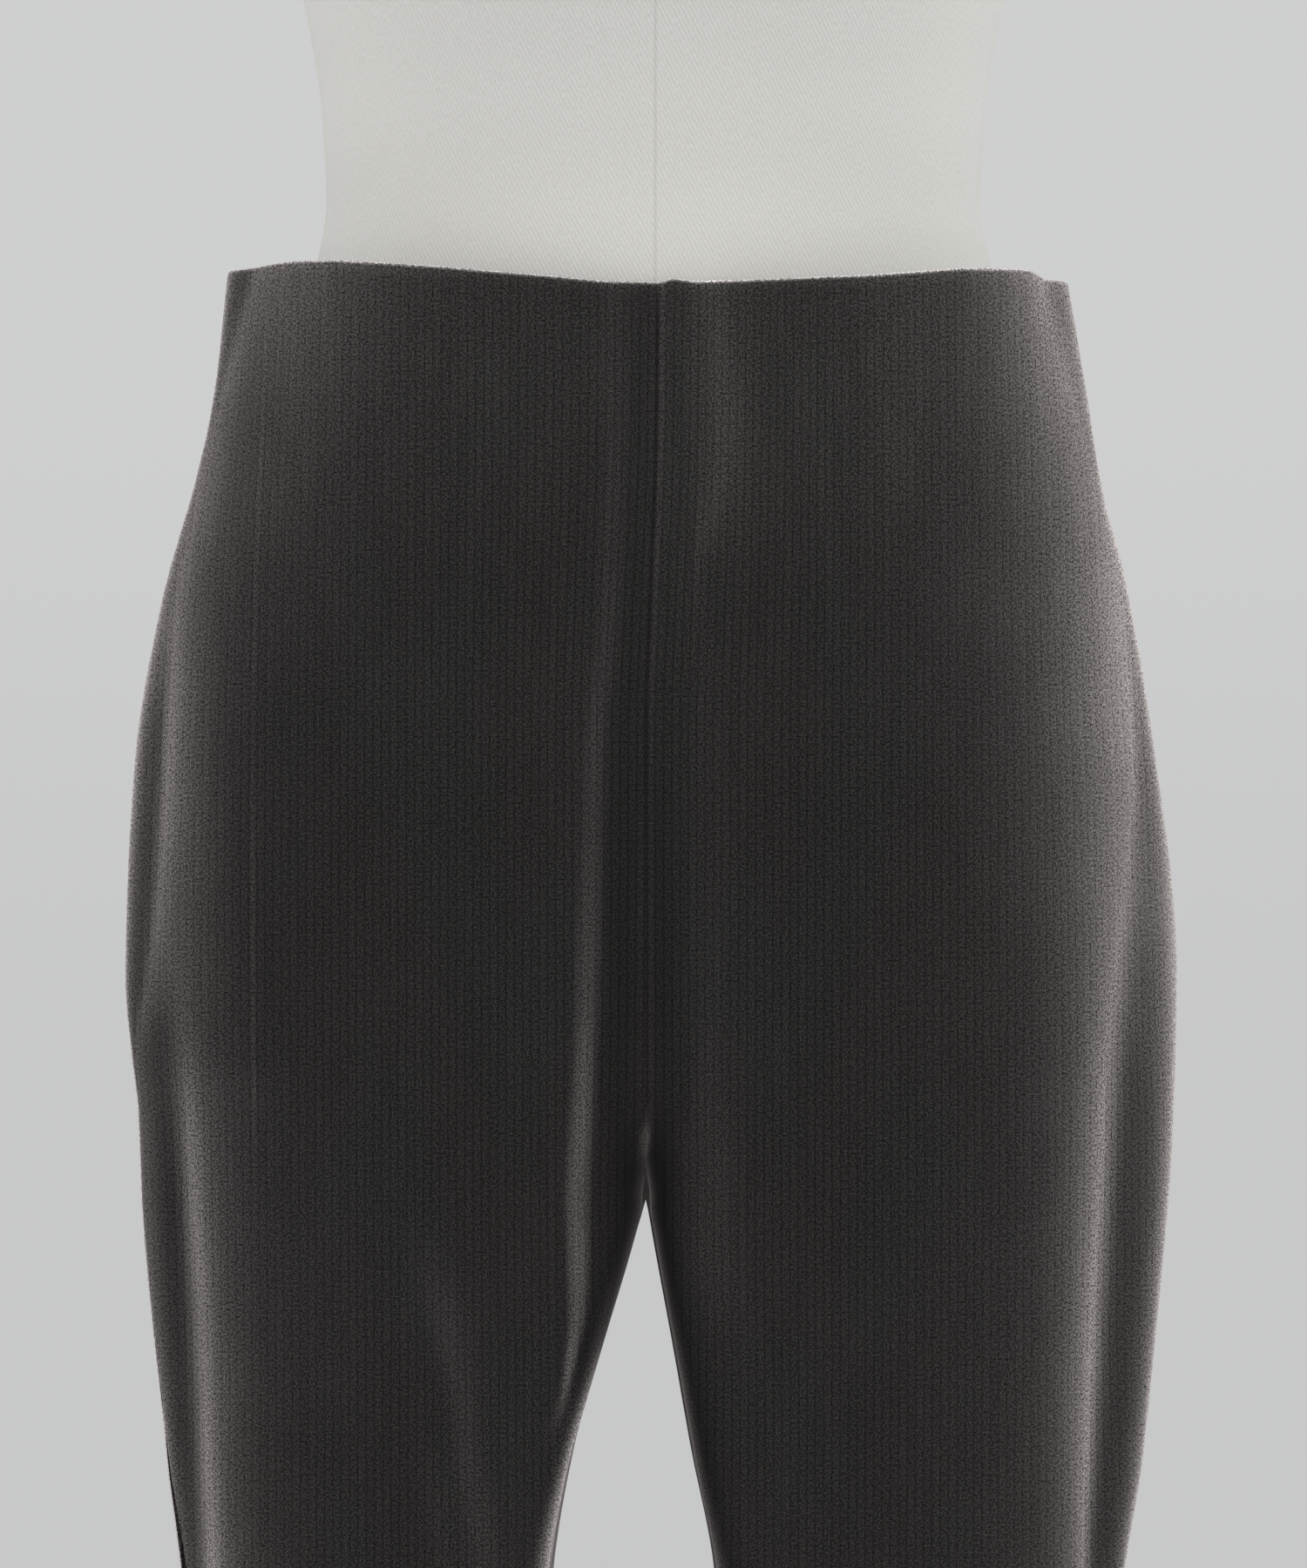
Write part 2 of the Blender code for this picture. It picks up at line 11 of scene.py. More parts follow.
import bpy
import numpy as np
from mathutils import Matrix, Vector


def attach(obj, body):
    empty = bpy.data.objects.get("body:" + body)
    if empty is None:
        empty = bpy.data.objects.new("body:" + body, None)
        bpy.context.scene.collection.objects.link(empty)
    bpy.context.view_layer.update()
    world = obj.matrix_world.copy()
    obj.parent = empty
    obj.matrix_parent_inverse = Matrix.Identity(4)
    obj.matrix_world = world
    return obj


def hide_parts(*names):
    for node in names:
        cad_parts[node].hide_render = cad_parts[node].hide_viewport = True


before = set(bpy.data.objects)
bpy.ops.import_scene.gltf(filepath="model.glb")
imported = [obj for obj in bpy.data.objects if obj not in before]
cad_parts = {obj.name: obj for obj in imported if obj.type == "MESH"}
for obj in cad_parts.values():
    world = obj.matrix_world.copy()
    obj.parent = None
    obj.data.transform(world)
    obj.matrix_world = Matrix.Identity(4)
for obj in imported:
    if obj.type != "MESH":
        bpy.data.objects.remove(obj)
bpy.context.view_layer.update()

MM = 0.001
# Keeps a division by a length from dividing by 0
TINY = 1e-9

# ---------------------------------------------------------------- the trousers' sizes

WAIST = 1018.0
# Where the centre seam starts to run under the body, in front and behind, and how
# squarely it does so
FORK_FRONT = 738.0
FORK_BACK = 790.0
FORK_SQUARE = 2.3
CROTCH = 705.0
HEM = 92.0
CROTCH_Y = 11.0

# The waist edge against WAIST: over each front, as distance from the centre and height,
# and at centre back; and how far down the panels it still shifts the sections
WAIST_EDGES = {
    "right": (
        (0, -7.1), (18, -6.8), (35, -5.0), (52, -3.5),
        (70, -1.7), (88, -0.2), (105, 1.1), (122, 1.3),
    ),
    "left": (
        (0, -7.1), (5, -5.9), (12, -6.8), (27, -6.6), (45, -5.9),
        (70, -4.8), (88, -3.4), (105, -1.9), (122, -1.5),
    ),
}
WAIST_BACK = 9.0
WAIST_BLEND = 90.0
# How much lower the waist edge lies at the side seams, the distance from the centre at
# which it starts to drop, and over what width it drops
WAIST_DROPS = {"right": (2.0, 116.0, 26.0), "left": (2.7, 126.5, 8.0)}

# Side view of the sections: y of the front plane and of the floor of the centre front's
# valley, and the same two behind
DEPTH_COLUMNS = ("z", "front", "floor", "back", "back_floor")
DEPTHS = (
    (1018, -94, -92, 94, 92),
    (960, -101, -98.5, 104, 101),
    (900, -107, -104, 114, 110),
    (840, -110, -106.2, 120, 115),
    (800, -110, -105.5, 120, 114),
    (750, -109, -103.8, 115, 109),
    (705, -107, -100.8, 107, 101),
    (660, -103, -98.8, 99, 94),
    (625, -99.7, -99, 94.9, 90.7),
    (575, -95, -94, 89, 86),
    (400, -72, -71, 74, 72),
    (240, -61, -60, 63, 62),
    (92, -56, -55, 57, 56),
)

# Front view of each side, from the centre plane: the inseam (0 where the sides are one
# tube), the radius of the turn on to the inner face, the outer end of the valley's
# floor, the shoulder where its flank reaches the front plane, the ridge where the front
# turns away, how squarely it does so, the cloth's lean there and in the dip behind it,
# in degrees from the front plane, and the widest point
WIDTH_COLUMNS = (
    "z", "inner", "turn", "core", "shoulder", "ridge", "square", "lean", "dip", "side",
)
RIGHT_WIDTHS = (
    (1018, 0, 4, 5, 21, 129.9, 2.3, 46, 30, 141.6),
    (977, 0, 4, 6, 21, 141.9, 2.7, 51, 42, 145.5),
    (953, 0, 4, 6, 20, 147.6, 2.9, 53, 48, 150.0),
    (905, 0, 4, 7, 20, 156.2, 3.3, 51, 46, 162.8),
    (857, 0, 5, 10.5, 23.5, 158.6, 3.8, 50, 30, 170.7),
    (815, 0, 5, 12, 25, 160.8, 3.8, 47, 30, 173.3),
    (779, 0, 5, 13, 26, 165.5, 3.4, 46, 36, 174.1),
    (755, 0, 5, 14.5, 26.5, 170.1, 3.1, 46, 42, 171.9),
    (737, 0, 5, 15.5, 27.5, 168.8, 2.9, 47, 47, 170.0),
    (705, 0, 6, 17, 29, 167.8, 2.8, 48, 48, 169.0),
    (697, 2, 6, 17.2, 28.5, 167.0, 2.8, 48, 48, 168.5),
    (690, 4, 6, 17.5, 28.2, 166.4, 2.8, 48, 48, 168.0),
    (665, 12, 6, 19, 28, 164.5, 2.8, 48, 48, 165.7),
    (641, 19.4, 5, 24.8, 31, 161.9, 2.8, 48, 48, 163.1),
    (617, 26, 5.5, 32.2, 46, 159.3, 2.8, 48, 48, 160.5),
    (575, 33.2, 8, 41.8, 58, 154.4, 2.8, 48, 48, 155.6),
    (400, 45, 10, 55, 68, 150.8, 2.8, 48, 48, 152.4),
    (240, 49, 10, 62, 72, 148.8, 2.8, 48, 48, 150.9),
    (92, 53, 10, 66, 76, 146.7, 2.6, 48, 48, 148.9),
)
LEFT_WIDTHS = (
    (1018, 0, 4, 12, 24, 129.8, 2.8, 52, 48, 140.9),
    (977, 0, 4, 14, 33, 139.6, 2.6, 53, 53, 147.0),
    (941, 0, 4, 11, 29, 150.3, 2.6, 55, 56, 152.4),
    (917, 0, 4, 7, 22, 156.8, 2.6, 56.5, 57, 159.1),
    (881, 0, 4, 7, 30, 160.0, 2.6, 57, 50, 166.1),
    (845, 0, 4, 7, 33, 161.0, 2.7, 55, 43, 171.1),
    (815, 0, 4, 8, 34, 158.3, 2.8, 53, 42, 175.2),
    (785, 0, 4, 8, 35, 154.4, 3.0, 50, 38, 177.0),
    (737, 0, 4, 8, 36, 149.6, 3.5, 50, 28, 175.5),
    (705, 0, 4, 8, 37, 148.1, 3.7, 51, 25, 173.6),
    (697, 1.4, 4, 8.2, 37.5, 147.7, 3.7, 51, 24.5, 172.8),
    (690, 2.5, 4, 8.5, 38, 147.4, 3.7, 51, 24, 172.2),
    (665, 6.6, 4, 12, 42, 146.2, 3.8, 52, 23, 169.8),
    (617, 14.9, 4, 20, 47, 144.2, 3.8, 50, 20, 164.6),
    (575, 23, 5, 29, 54, 143.3, 3.7, 48, 20, 158.0),
    (400, 35, 7, 44, 66, 140.7, 3.2, 46, 22, 152.3),
    (240, 42, 8, 52, 74, 137.1, 2.9, 45, 25, 148.2),
    (92, 47, 8, 57, 78, 134.3, 2.6, 45, 28, 144.6),
)

# How far the centre seams lie to the wearer's left of the centre plane, and the distance
# from them at which the cloth no longer follows
SWAY_ROWS = ((1018, 3.0), (960, 2.4), (900, 0.2), (865, -0.9), (705, -0.9), (640, 0.0), (92, 0.0))
SWAY_REACH = 45.0

# How squarely the back turns into the side, and where the seat's fullest line runs
BACK_SQUARE = 2.9
SEAT_SHARE = 0.36
# The back's turn on to its inner face, and where its valley's floor ends
BACK_TURN = 9.0
BACK_CORE = 14.0
# How much of a superellipse the front face uses before its ridge
FACE_SHARE = 0.8
# Where the dip lies on the way from ridge to side seam, and how late the cloth turns on
DIP_SHARE = 0.35
DIP_POWER = 2.2
# Points of an outline nearer than this are one point
REPEAT = 1e-4
# How far each inner face has parted from the centre plane where it reaches the front or
# the back. The faces touch above the second height, and part over the third below it.
FORK_PARTING = 1.7
FORK_OPEN = 721.0
FORK_OPEN_RUN = 12.0
# The valley's floor is at least this wide beside the turn
LEAST_FLOOR = 0.3
# Points along an outline: the front or seat face, the turn to the side seam, the inner
# face, the tight turn after it and the valley's flank; and rows that the sway is read at
FACE_POINTS = 480
SIDE_POINTS = 121
INNER_POINTS = 12
TURN_POINTS = 24
FLANK_POINTS = 30
SWAY_POINTS = 200

# ---------------------------------------------------------------- the cloth's own sizes

WALE = 2.75
WALE_HEIGHT = 0.36
# How much of the wales' relief their shading shows
PILE_RELIEF = 0.06
# Columns of a wale, as shares of its width, and how high the pile stands there
WALE_PROFILE = ((0.0, 0.0), (0.15, 0.78), (0.37, 1.0), (0.63, 1.0), (0.85, 0.78))
# The grain line's distance from the centre plane, in front and behind
GRAIN_X = (85.0, 90.0)
THICKNESS = 1.8
# A turned edge is two layers thick over this height
TURNING = 30.0
TURNED_THICKNESS = 2.6
TURN_STEPS = 5
# Height from row to row in front and behind, rows in the fork, how much the legs' rows
# crowd to the crotch, and how many outer rows there are for each row inside
ROW_STEPS = (5.5, 7.5)
ROWS_IN_FORK = 30
LEG_CROWDING = 1.12
INNER_EVERY = 6
# A column nearer than this to a panel's edge joins it, and normals are found this far to
# both sides of a point
EDGE_REACH = 0.05
NORMAL_REACH = 0.6

# A seam pulls its two edges in, and its allowance lies flat under one of the panels
SEAM_GAP = 0.02
SEAM_DIP = 0.4
SIDE_DIP = 0.3
SEAM_REACH = 2.4
PILE_PRESSED = 1.6
ALLOWANCE = 12.0
ALLOWANCE_RISE = 0.45
# Over what widths the cloth rises on to the allowance at the seam and sinks at its edge
ALLOWANCE_SLOPES = (3.5, 4.0)

# Folds as soft troughs between two points, given by their distance from the centre plane
# and their height
FOLD_COLUMNS = ("panel", "x_top", "z_top", "x_end", "z_end", "width", "depth")
FOLDS = (
    ("front_panel_right", 160, 812, 145, 430, 6.5, 3.0),
    ("front_panel_right", 82, 722, 50, 515, 11, 3.2),
    ("front_panel_right", 118, 540, 92, 300, 13, 3.5),
    ("front_panel_left", 70, 600, 96, 360, 13, 3.5),
    ("back_panel_right", 34, 742, 118, 672, 16, 4.5),
    ("back_panel_right", 92, 600, 72, 380, 13, 4.0),
    ("back_panel_left", 30, 738, 124, 660, 16, 5.0),
    ("back_panel_left", 84, 590, 106, 350, 13, 4.0),
)
# A fold or a band fades out at each end, over one part in this many of its length
END_PARTS = 3

# Bands of painted light (above 0) and painted shade (below 0) on the pile, between two points
# given like a fold's: below the waist, beside the centre seam, on the side ridges and the thighs
PAINTED_LIGHT_COLUMNS = ("panel", "x_top", "z_top", "x_end", "z_end", "width", "shade")
PAINTED_LIGHT_BANDS = (
    ("front_panel_left", 60, 1130, 64, 880, 70, 0.32),
    ("front_panel_left", 17, 1075, 26, 900, 9, 0.75),
    ("front_panel_left", 79, 1075, 84, 910, 12, 0.3),
    ("front_panel_right", 70, 1130, 74, 920, 70, 0.2),
    ("front_panel_left", 125, 930, 118, 480, 30, 0.2),
    ("front_panel_left", 122, 1110, 158, 900, 13, -0.45),
    ("front_panel_left", 172, 960, 160, 460, 15, -0.35),
    ("front_panel_right", 150, 1150, 165, 460, 28, -0.28),
    ("front_panel_right", 134, 1110, 158, 830, 22, -0.25),
    ("front_panel_right", 172, 900, 168, 460, 8, -0.4),
    ("front_panel_right", 124, 1120, 134, 900, 14, -0.35),
    ("front_panel_right", 150, 920, 134, 450, 9, 0.45),
    ("front_panel_right", 152, 740, 149, 430, 5, -0.35),
    ("front_panel_right", 22, 740, 24, 640, 4, -0.2),
    ("front_panel_right", 77, 710, 70, 630, 7, 0.1),
    ("front_panel_right", 70, 655, 52, 520, 9, 0.35),
    ("front_panel_right", 5, 1060, 6, 820, 6, -0.2),
    ("front_panel_right", 6, 900, 10, 640, 8, -0.42),
    ("front_panel_left", 3, 900, 6, 640, 7, -0.42),
)
# Painted shade between the thighs: how dark, how far out it reaches, and the heights where
# it starts and ends
THIGH_PAINTED_SHADE = -0.95
THIGH_REACH = 8.5
THIGH_ROWS = {"right": (748, 625), "left": (748, 480)}
THIGH_BLEND = 40.0
# A wale whose pile stands lighter than its neighbours': its number from the grain line
# outwards, between which heights, and by how much
LIGHT_WALES = (
    ("front_panel_right", 16, 1010, 690, 0.2),
    ("front_panel_right", 16, 860, 690, 0.35),
)
# Half the part of the wale's width that is lighter, and the height over which it fades
LIGHT_WALE_HALF = 0.3
LIGHT_WALE_BLEND = 60.0
# How much darker the pile is coloured beside a centre seam or an inseam, and how far from
# it. Below a height only a share of it shows, and all of it over a run above that.
SEAM_SHADE = -0.35
SEAM_SHADE_REACH = 0.9
SEAM_FADE = 800.0
SEAM_FADE_RUN = 90.0
SEAM_KEPT = 0.35

# ---------------------------------------------------------------- the dress form's sizes

FORM_X = 1.5
FORM_COLUMNS = ("z", "half", "front", "back", "square")
FORM_SECTIONS = (
    (736, 130, 36, 64, 2.5),
    (739, 136, 42, 71, 2.4),
    (749, 143, 52, 82, 2.3),
    (768, 148, 68, 94, 2.2),
    (795, 151, 83, 103, 2.2),
    (830, 156, 95, 108, 2.2),
    (870, 156.5, 100, 108, 2.2),
    (910, 151.5, 98.5, 104.5, 2.2),
    (950, 142.5, 94, 97.5, 2.2),
    (990, 129, 88, 90, 2.2),
    (1025, 115.5, 85, 84, 2.2),
    (1045, 112.5, 84, 83, 2.2),
    (1075, 114, 86, 83, 2.2),
    (1115, 120.5, 93, 87, 2.2),
    (1160, 130, 104, 92, 2.2),
    (1205, 140, 118, 97, 2.2),
    (1240, 146, 121, 100, 2.2),
    (1280, 151, 110, 103, 2.2),
    (1325, 160, 93, 104, 2.2),
    (1362, 171, 77, 99, 2.3),
    (1384, 172, 64, 90, 2.3),
    (1398, 155, 56, 82, 2.2),
    (1410, 124, 52, 76, 2.1),
    (1422, 92, 49, 71, 2.0),
    (1436, 66, 47, 65, 2.0),
    (1456, 56, 47, 60, 2.0),
    (1482, 54, 47, 57, 2.0),
    (1488, 51, 44, 54, 2.0),
)
FORM_ROW_STEP = 5.0
# Extra rows this far above the underside and below the top of the neck
FORM_LOW_ROWS = (1, 2, 3.5)
FORM_HIGH_ROWS = (1, 3)
FORM_ROUND = 160
# An edge of the form that turns by more than this many degrees is sharp
FORM_SHARP = 50.0
# The centre back seam, as an angle
FORM_SEAM = 0.006

# ---------------------------------------------------------------- camera

CAMERA_X = 1.5
CAMERA_Y = -2300.0
CAMERA_Z = 845.0
# Height of the picture in the plane through the form's centre, and how far the camera
# sees, in metres
VIEW_HEIGHT = 540.0
CAMERA_REACH = 50.0


# ================================================================ sections


def monotone(rows, column, z):
    """The column's value at height z, on a smooth curve that never overshoots its rows."""
    table = np.array(sorted(rows), float)
    heights, values = table[:, 0], table[:, column]
    steps = np.diff(heights)
    slopes = np.diff(values) / steps
    tangents = np.zeros(len(values))
    for i in range(1, len(values) - 1):
        if slopes[i - 1] * slopes[i] > 0:
            first, second = 2 * steps[i] + steps[i - 1], steps[i] + 2 * steps[i - 1]
            tangents[i] = (first + second) / (first / slopes[i - 1] + second / slopes[i])
    tangents[0], tangents[-1] = slopes[0], slopes[-1]
    i = int(np.clip(np.searchsorted(heights, z) - 1, 0, len(steps) - 1))
    t = float(np.clip((z - heights[i]) / steps[i], 0, 1))
    return (
        values[i] * (1 + 2 * t) * (1 - t) ** 2
        + values[i + 1] * t * t * (3 - 2 * t)
        + steps[i] * t * (1 - t) * (tangents[i] * (1 - t) - tangents[i + 1] * t)
    )


def read_row(columns, rows, z):
    """Every named column at height z."""
    return {name: monotone(rows, i, z) for i, name in enumerate(columns) if i}


def quarter(flat_end, steep_end, square):
    """A quarter of a superellipse from a point where it runs along X to one where it
    runs along Y."""
    angle = np.linspace(0, math.pi / 2, FACE_POINTS)
    across = np.sin(angle) ** (2 / square)
    along = np.cos(angle) ** (2 / square)
    x = flat_end[0] + (steep_end[0] - flat_end[0]) * across
    y = steep_end[1] + (flat_end[1] - steep_end[1]) * along
    return np.column_stack([x, y])


def joined(*stretches):
    """Stretches end to end, without repeated points."""
    line = np.vstack(stretches)
    moved = np.hypot(*np.diff(line, axis=0).T) > REPEAT
    return line[np.concatenate([[True], moved])]


def seam_depth(floor, start, z):
    """y of the centre seam: it follows the valley's floor down to where it starts to turn,
    then runs under the body to the crotch point as a quarter of a superellipse."""
    share = np.clip((start - z) / (start - CROTCH), 0, 1)
    return CROTCH_Y + (floor - CROTCH_Y) * (1 - share**FORK_SQUARE) ** (1 / FORK_SQUARE)


def eased(share):
    share = np.clip(share, 0, 1)
    return share * share * (3 - 2 * share)


def inner_stretch(width, turn, core, shoulder, seam_y, z):
    """From the centre seam, or the inseam, out to the shoulder on the front or back plane:
    along the inner face, round a tight turn on to the valley's floor and up its flank.
    core and shoulder are the two ends of the flank."""
    drop = seam_y - core[1]
    start = math.asin(1 - min(abs(drop) / turn, 1))
    opening = FORK_PARTING * eased((FORK_OPEN - z) / FORK_OPEN_RUN)
    angle = np.linspace(start, math.pi / 2, TURN_POINTS)
    turned_x = width["inner"] + opening + turn * (math.cos(start) - np.cos(angle))
    turned_y = core[1] + math.copysign(turn, drop) * (1 - np.sin(angle))
    share = np.linspace(0, 1, FLANK_POINTS)
    floor_x = max(core[0], turned_x[-1] + LEAST_FLOOR)
    flank_x = floor_x + (shoulder[0] - floor_x) * share
    flank_y = core[1] + (shoulder[1] - core[1]) * eased(share)
    face = np.linspace((width["inner"], seam_y), (turned_x[0], turned_y[0]), INNER_POINTS)
    turned = np.column_stack([turned_x, turned_y])
    return joined(face, turned, np.column_stack([flank_x, flank_y]))


def front_face(width, plane_y):
    """From the shoulder on the front plane out to the ridge, as the part of a superellipse
    that ends with the cloth at its lean."""
    square = width["square"]
    reach = width["ridge"] - width["shoulder"]
    end = (1 - FACE_SHARE) ** (1 / square)
    steepness = FACE_SHARE * end / (1 - FACE_SHARE)
    depth = math.tan(math.radians(width["lean"])) * reach * (1 - end) / steepness
    share = np.sin(np.linspace(0, math.pi / 2, FACE_POINTS))
    fall = (1 - (1 - FACE_SHARE * share**square) ** (1 / square)) / (1 - end)
    return np.column_stack([width["shoulder"] + reach * share, plane_y + depth * fall])


def side_turn(width, ridge):
    """From the ridge to the side seam at the widest point: the cloth eases to the dip's
    lean and turns on until it faces sideways."""
    share = np.linspace(0, 1, SIDE_POINTS)
    into_dip = eased(share / DIP_SHARE)
    out_of_dip = np.clip((share - DIP_SHARE) / (1 - DIP_SHARE), 0, 1) ** DIP_POWER
    lean, dip = width["lean"], width["dip"]
    angle = np.radians(lean + (dip - lean) * into_dip + (90 - dip) * out_of_dip)
    middle = (angle[1:] + angle[:-1]) / 2
    steps = np.column_stack([np.cos(middle), np.sin(middle)])
    path = np.vstack([[0, 0], np.cumsum(steps, axis=0)])
    return ridge + path * (width["side"] - ridge[0]) / path[-1, 0]


def section(side_rows, z, which):
    """The front (which 0) or back (1) outline of one side at height z, from the centre
    seam or inseam to the side seam, as points (x, y) with x outwards."""
    depth = read_row(DEPTH_COLUMNS, DEPTHS, z)
    width = read_row(WIDTH_COLUMNS, side_rows, z)
    face = front_face(width, depth["front"])
    turn = side_turn(width, face[-1])
    if which == 0:
        seam_y = seam_depth(depth["floor"], FORK_FRONT, z)
        core = (width["core"], depth["floor"])
        shoulder = (width["shoulder"], depth["front"])
        inner = inner_stretch(width, width["turn"], core, shoulder, seam_y, z)
        return joined(inner, face, turn)
    seam_y = seam_depth(depth["back_floor"], FORK_BACK, z)
    core = (width["inner"] + BACK_CORE, depth["back_floor"])
    seat_x = width["inner"] + SEAT_SHARE * (width["side"] - width["inner"])
    seat = (seat_x, depth["back"])
    inner = inner_stretch(width, BACK_TURN, core, seat, seam_y, z)
    return joined(inner, quarter(seat, turn[-1], BACK_SQUARE))


def swayed(points):
    """Points, in an array of rows of (x, y, z), shifted along X with the centre seams."""
    heights = np.linspace(HEM, WAIST, SWAY_POINTS)
    seam = np.array([monotone(SWAY_ROWS, 1, z) for z in heights])
    shift = np.interp(points[..., 2], heights, seam)
    shift *= np.exp(-((points[..., 0] / SWAY_REACH) ** 2))
    return points + shift[..., None] * np.array([1.0, 0.0, 0.0])


def waist_shift(side, x, y, z):
    """How far points of one section near the waist lie above it."""
    distances, heights = zip(*WAIST_EDGES[side])
    at_side = heights[-1]
    front = np.interp(x, distances, heights)
    back = at_side + (WAIST_BACK - at_side) * np.clip(y / DEPTHS[0][3], 0, 1) ** 2
    drop, start, width = WAIST_DROPS[side]
    dropped = drop * eased((x - start) / width)
    share = np.clip((z - (WAIST - WAIST_BLEND)) / WAIST_BLEND, 0, 1) ** 2
    return share * (np.where(y < 0, front, back) - dropped)


def row_heights(which):
    """Heights of the fine rows from the waist edge to the hem, crowding to the crotch."""
    step = ROW_STEPS[which]
    above = np.linspace(WAIST, FORK_BACK, round((WAIST - FORK_BACK) / step) + 1)
    turn = np.linspace(0, math.pi / 2, ROWS_IN_FORK + 1)[1:]
    fork = FORK_BACK - (FORK_BACK - CROTCH) * np.sin(turn)
    count = round((CROTCH - HEM) / step)
    share = np.linspace(0, 1, count + 1)[1:]
    legs = CROTCH - (CROTCH - HEM) * share**LEG_CROWDING
    return np.concatenate([above, fork, legs])


# ================================================================ cloth


def wale_columns(low, high):
    """Every column's distance across the cloth, from below low to above high."""
    first, last = math.floor(low / WALE) - 1, math.ceil(high / WALE) + 1
    shares = np.array([row[0] for row in WALE_PROFILE])
    return (np.arange(first, last)[:, None] + shares[None, :]).ravel() * WALE


def wale_height(across):
    """The pile's height at a distance across the cloth, from 0 in a groove to 1."""
    share = np.mod(across / WALE, 1.0)
    shares = [row[0] for row in WALE_PROFILE] + [1.0]
    heights = [row[1] for row in WALE_PROFILE] + [WALE_PROFILE[0][1]]
    return np.interp(share, shares, heights)


def fold_depth(panel, x, z):
    """How far a panel's face is pressed in at distance x from the centre plane."""
    depth = np.zeros_like(x)
    for row in FOLDS:
        fold = dict(zip(FOLD_COLUMNS, row))
        if fold["panel"] == panel:
            depth += fold["depth"] * along_line(fold, x, z)
    return depth


def along_line(line, x, z):
    """1 on a line between two points, fading over its width and towards its ends."""
    run = np.array([line["x_end"] - line["x_top"], line["z_end"] - line["z_top"]], float)
    length = np.hypot(*run)
    run /= length
    from_top = np.stack([x - line["x_top"], z - line["z_top"]])
    along = (from_top[0] * run[0] + from_top[1] * run[1]) / length
    aside = from_top[0] * run[1] - from_top[1] * run[0]
    ends = eased(along * END_PARTS) * eased((1 - along) * END_PARTS)
    return ends * np.exp(-((aside / line["width"]) ** 2))


def seam_and_painted_shade(panel, x, z, from_seam):
    """How much lighter or darker the pile is coloured, from -1 upwards: darker beside the seams,
    with bands of painted light and painted shade.
    """
    shown = SEAM_KEPT + (1 - SEAM_KEPT) * eased((z - SEAM_FADE) / SEAM_FADE_RUN)
    shade = SEAM_SHADE * shown * np.exp(-((from_seam / SEAM_SHADE_REACH) ** 2))
    # Bands of painted light and painted shade
    for row in PAINTED_LIGHT_BANDS:
        band = dict(zip(PAINTED_LIGHT_COLUMNS, row))
        if band["panel"] == panel:
            shade += band["shade"] * along_line(band, x, z)
    return shade


def unit(vectors):
    lengths = np.linalg.norm(vectors, axis=-1, keepdims=True)
    return vectors / np.maximum(lengths, TINY)


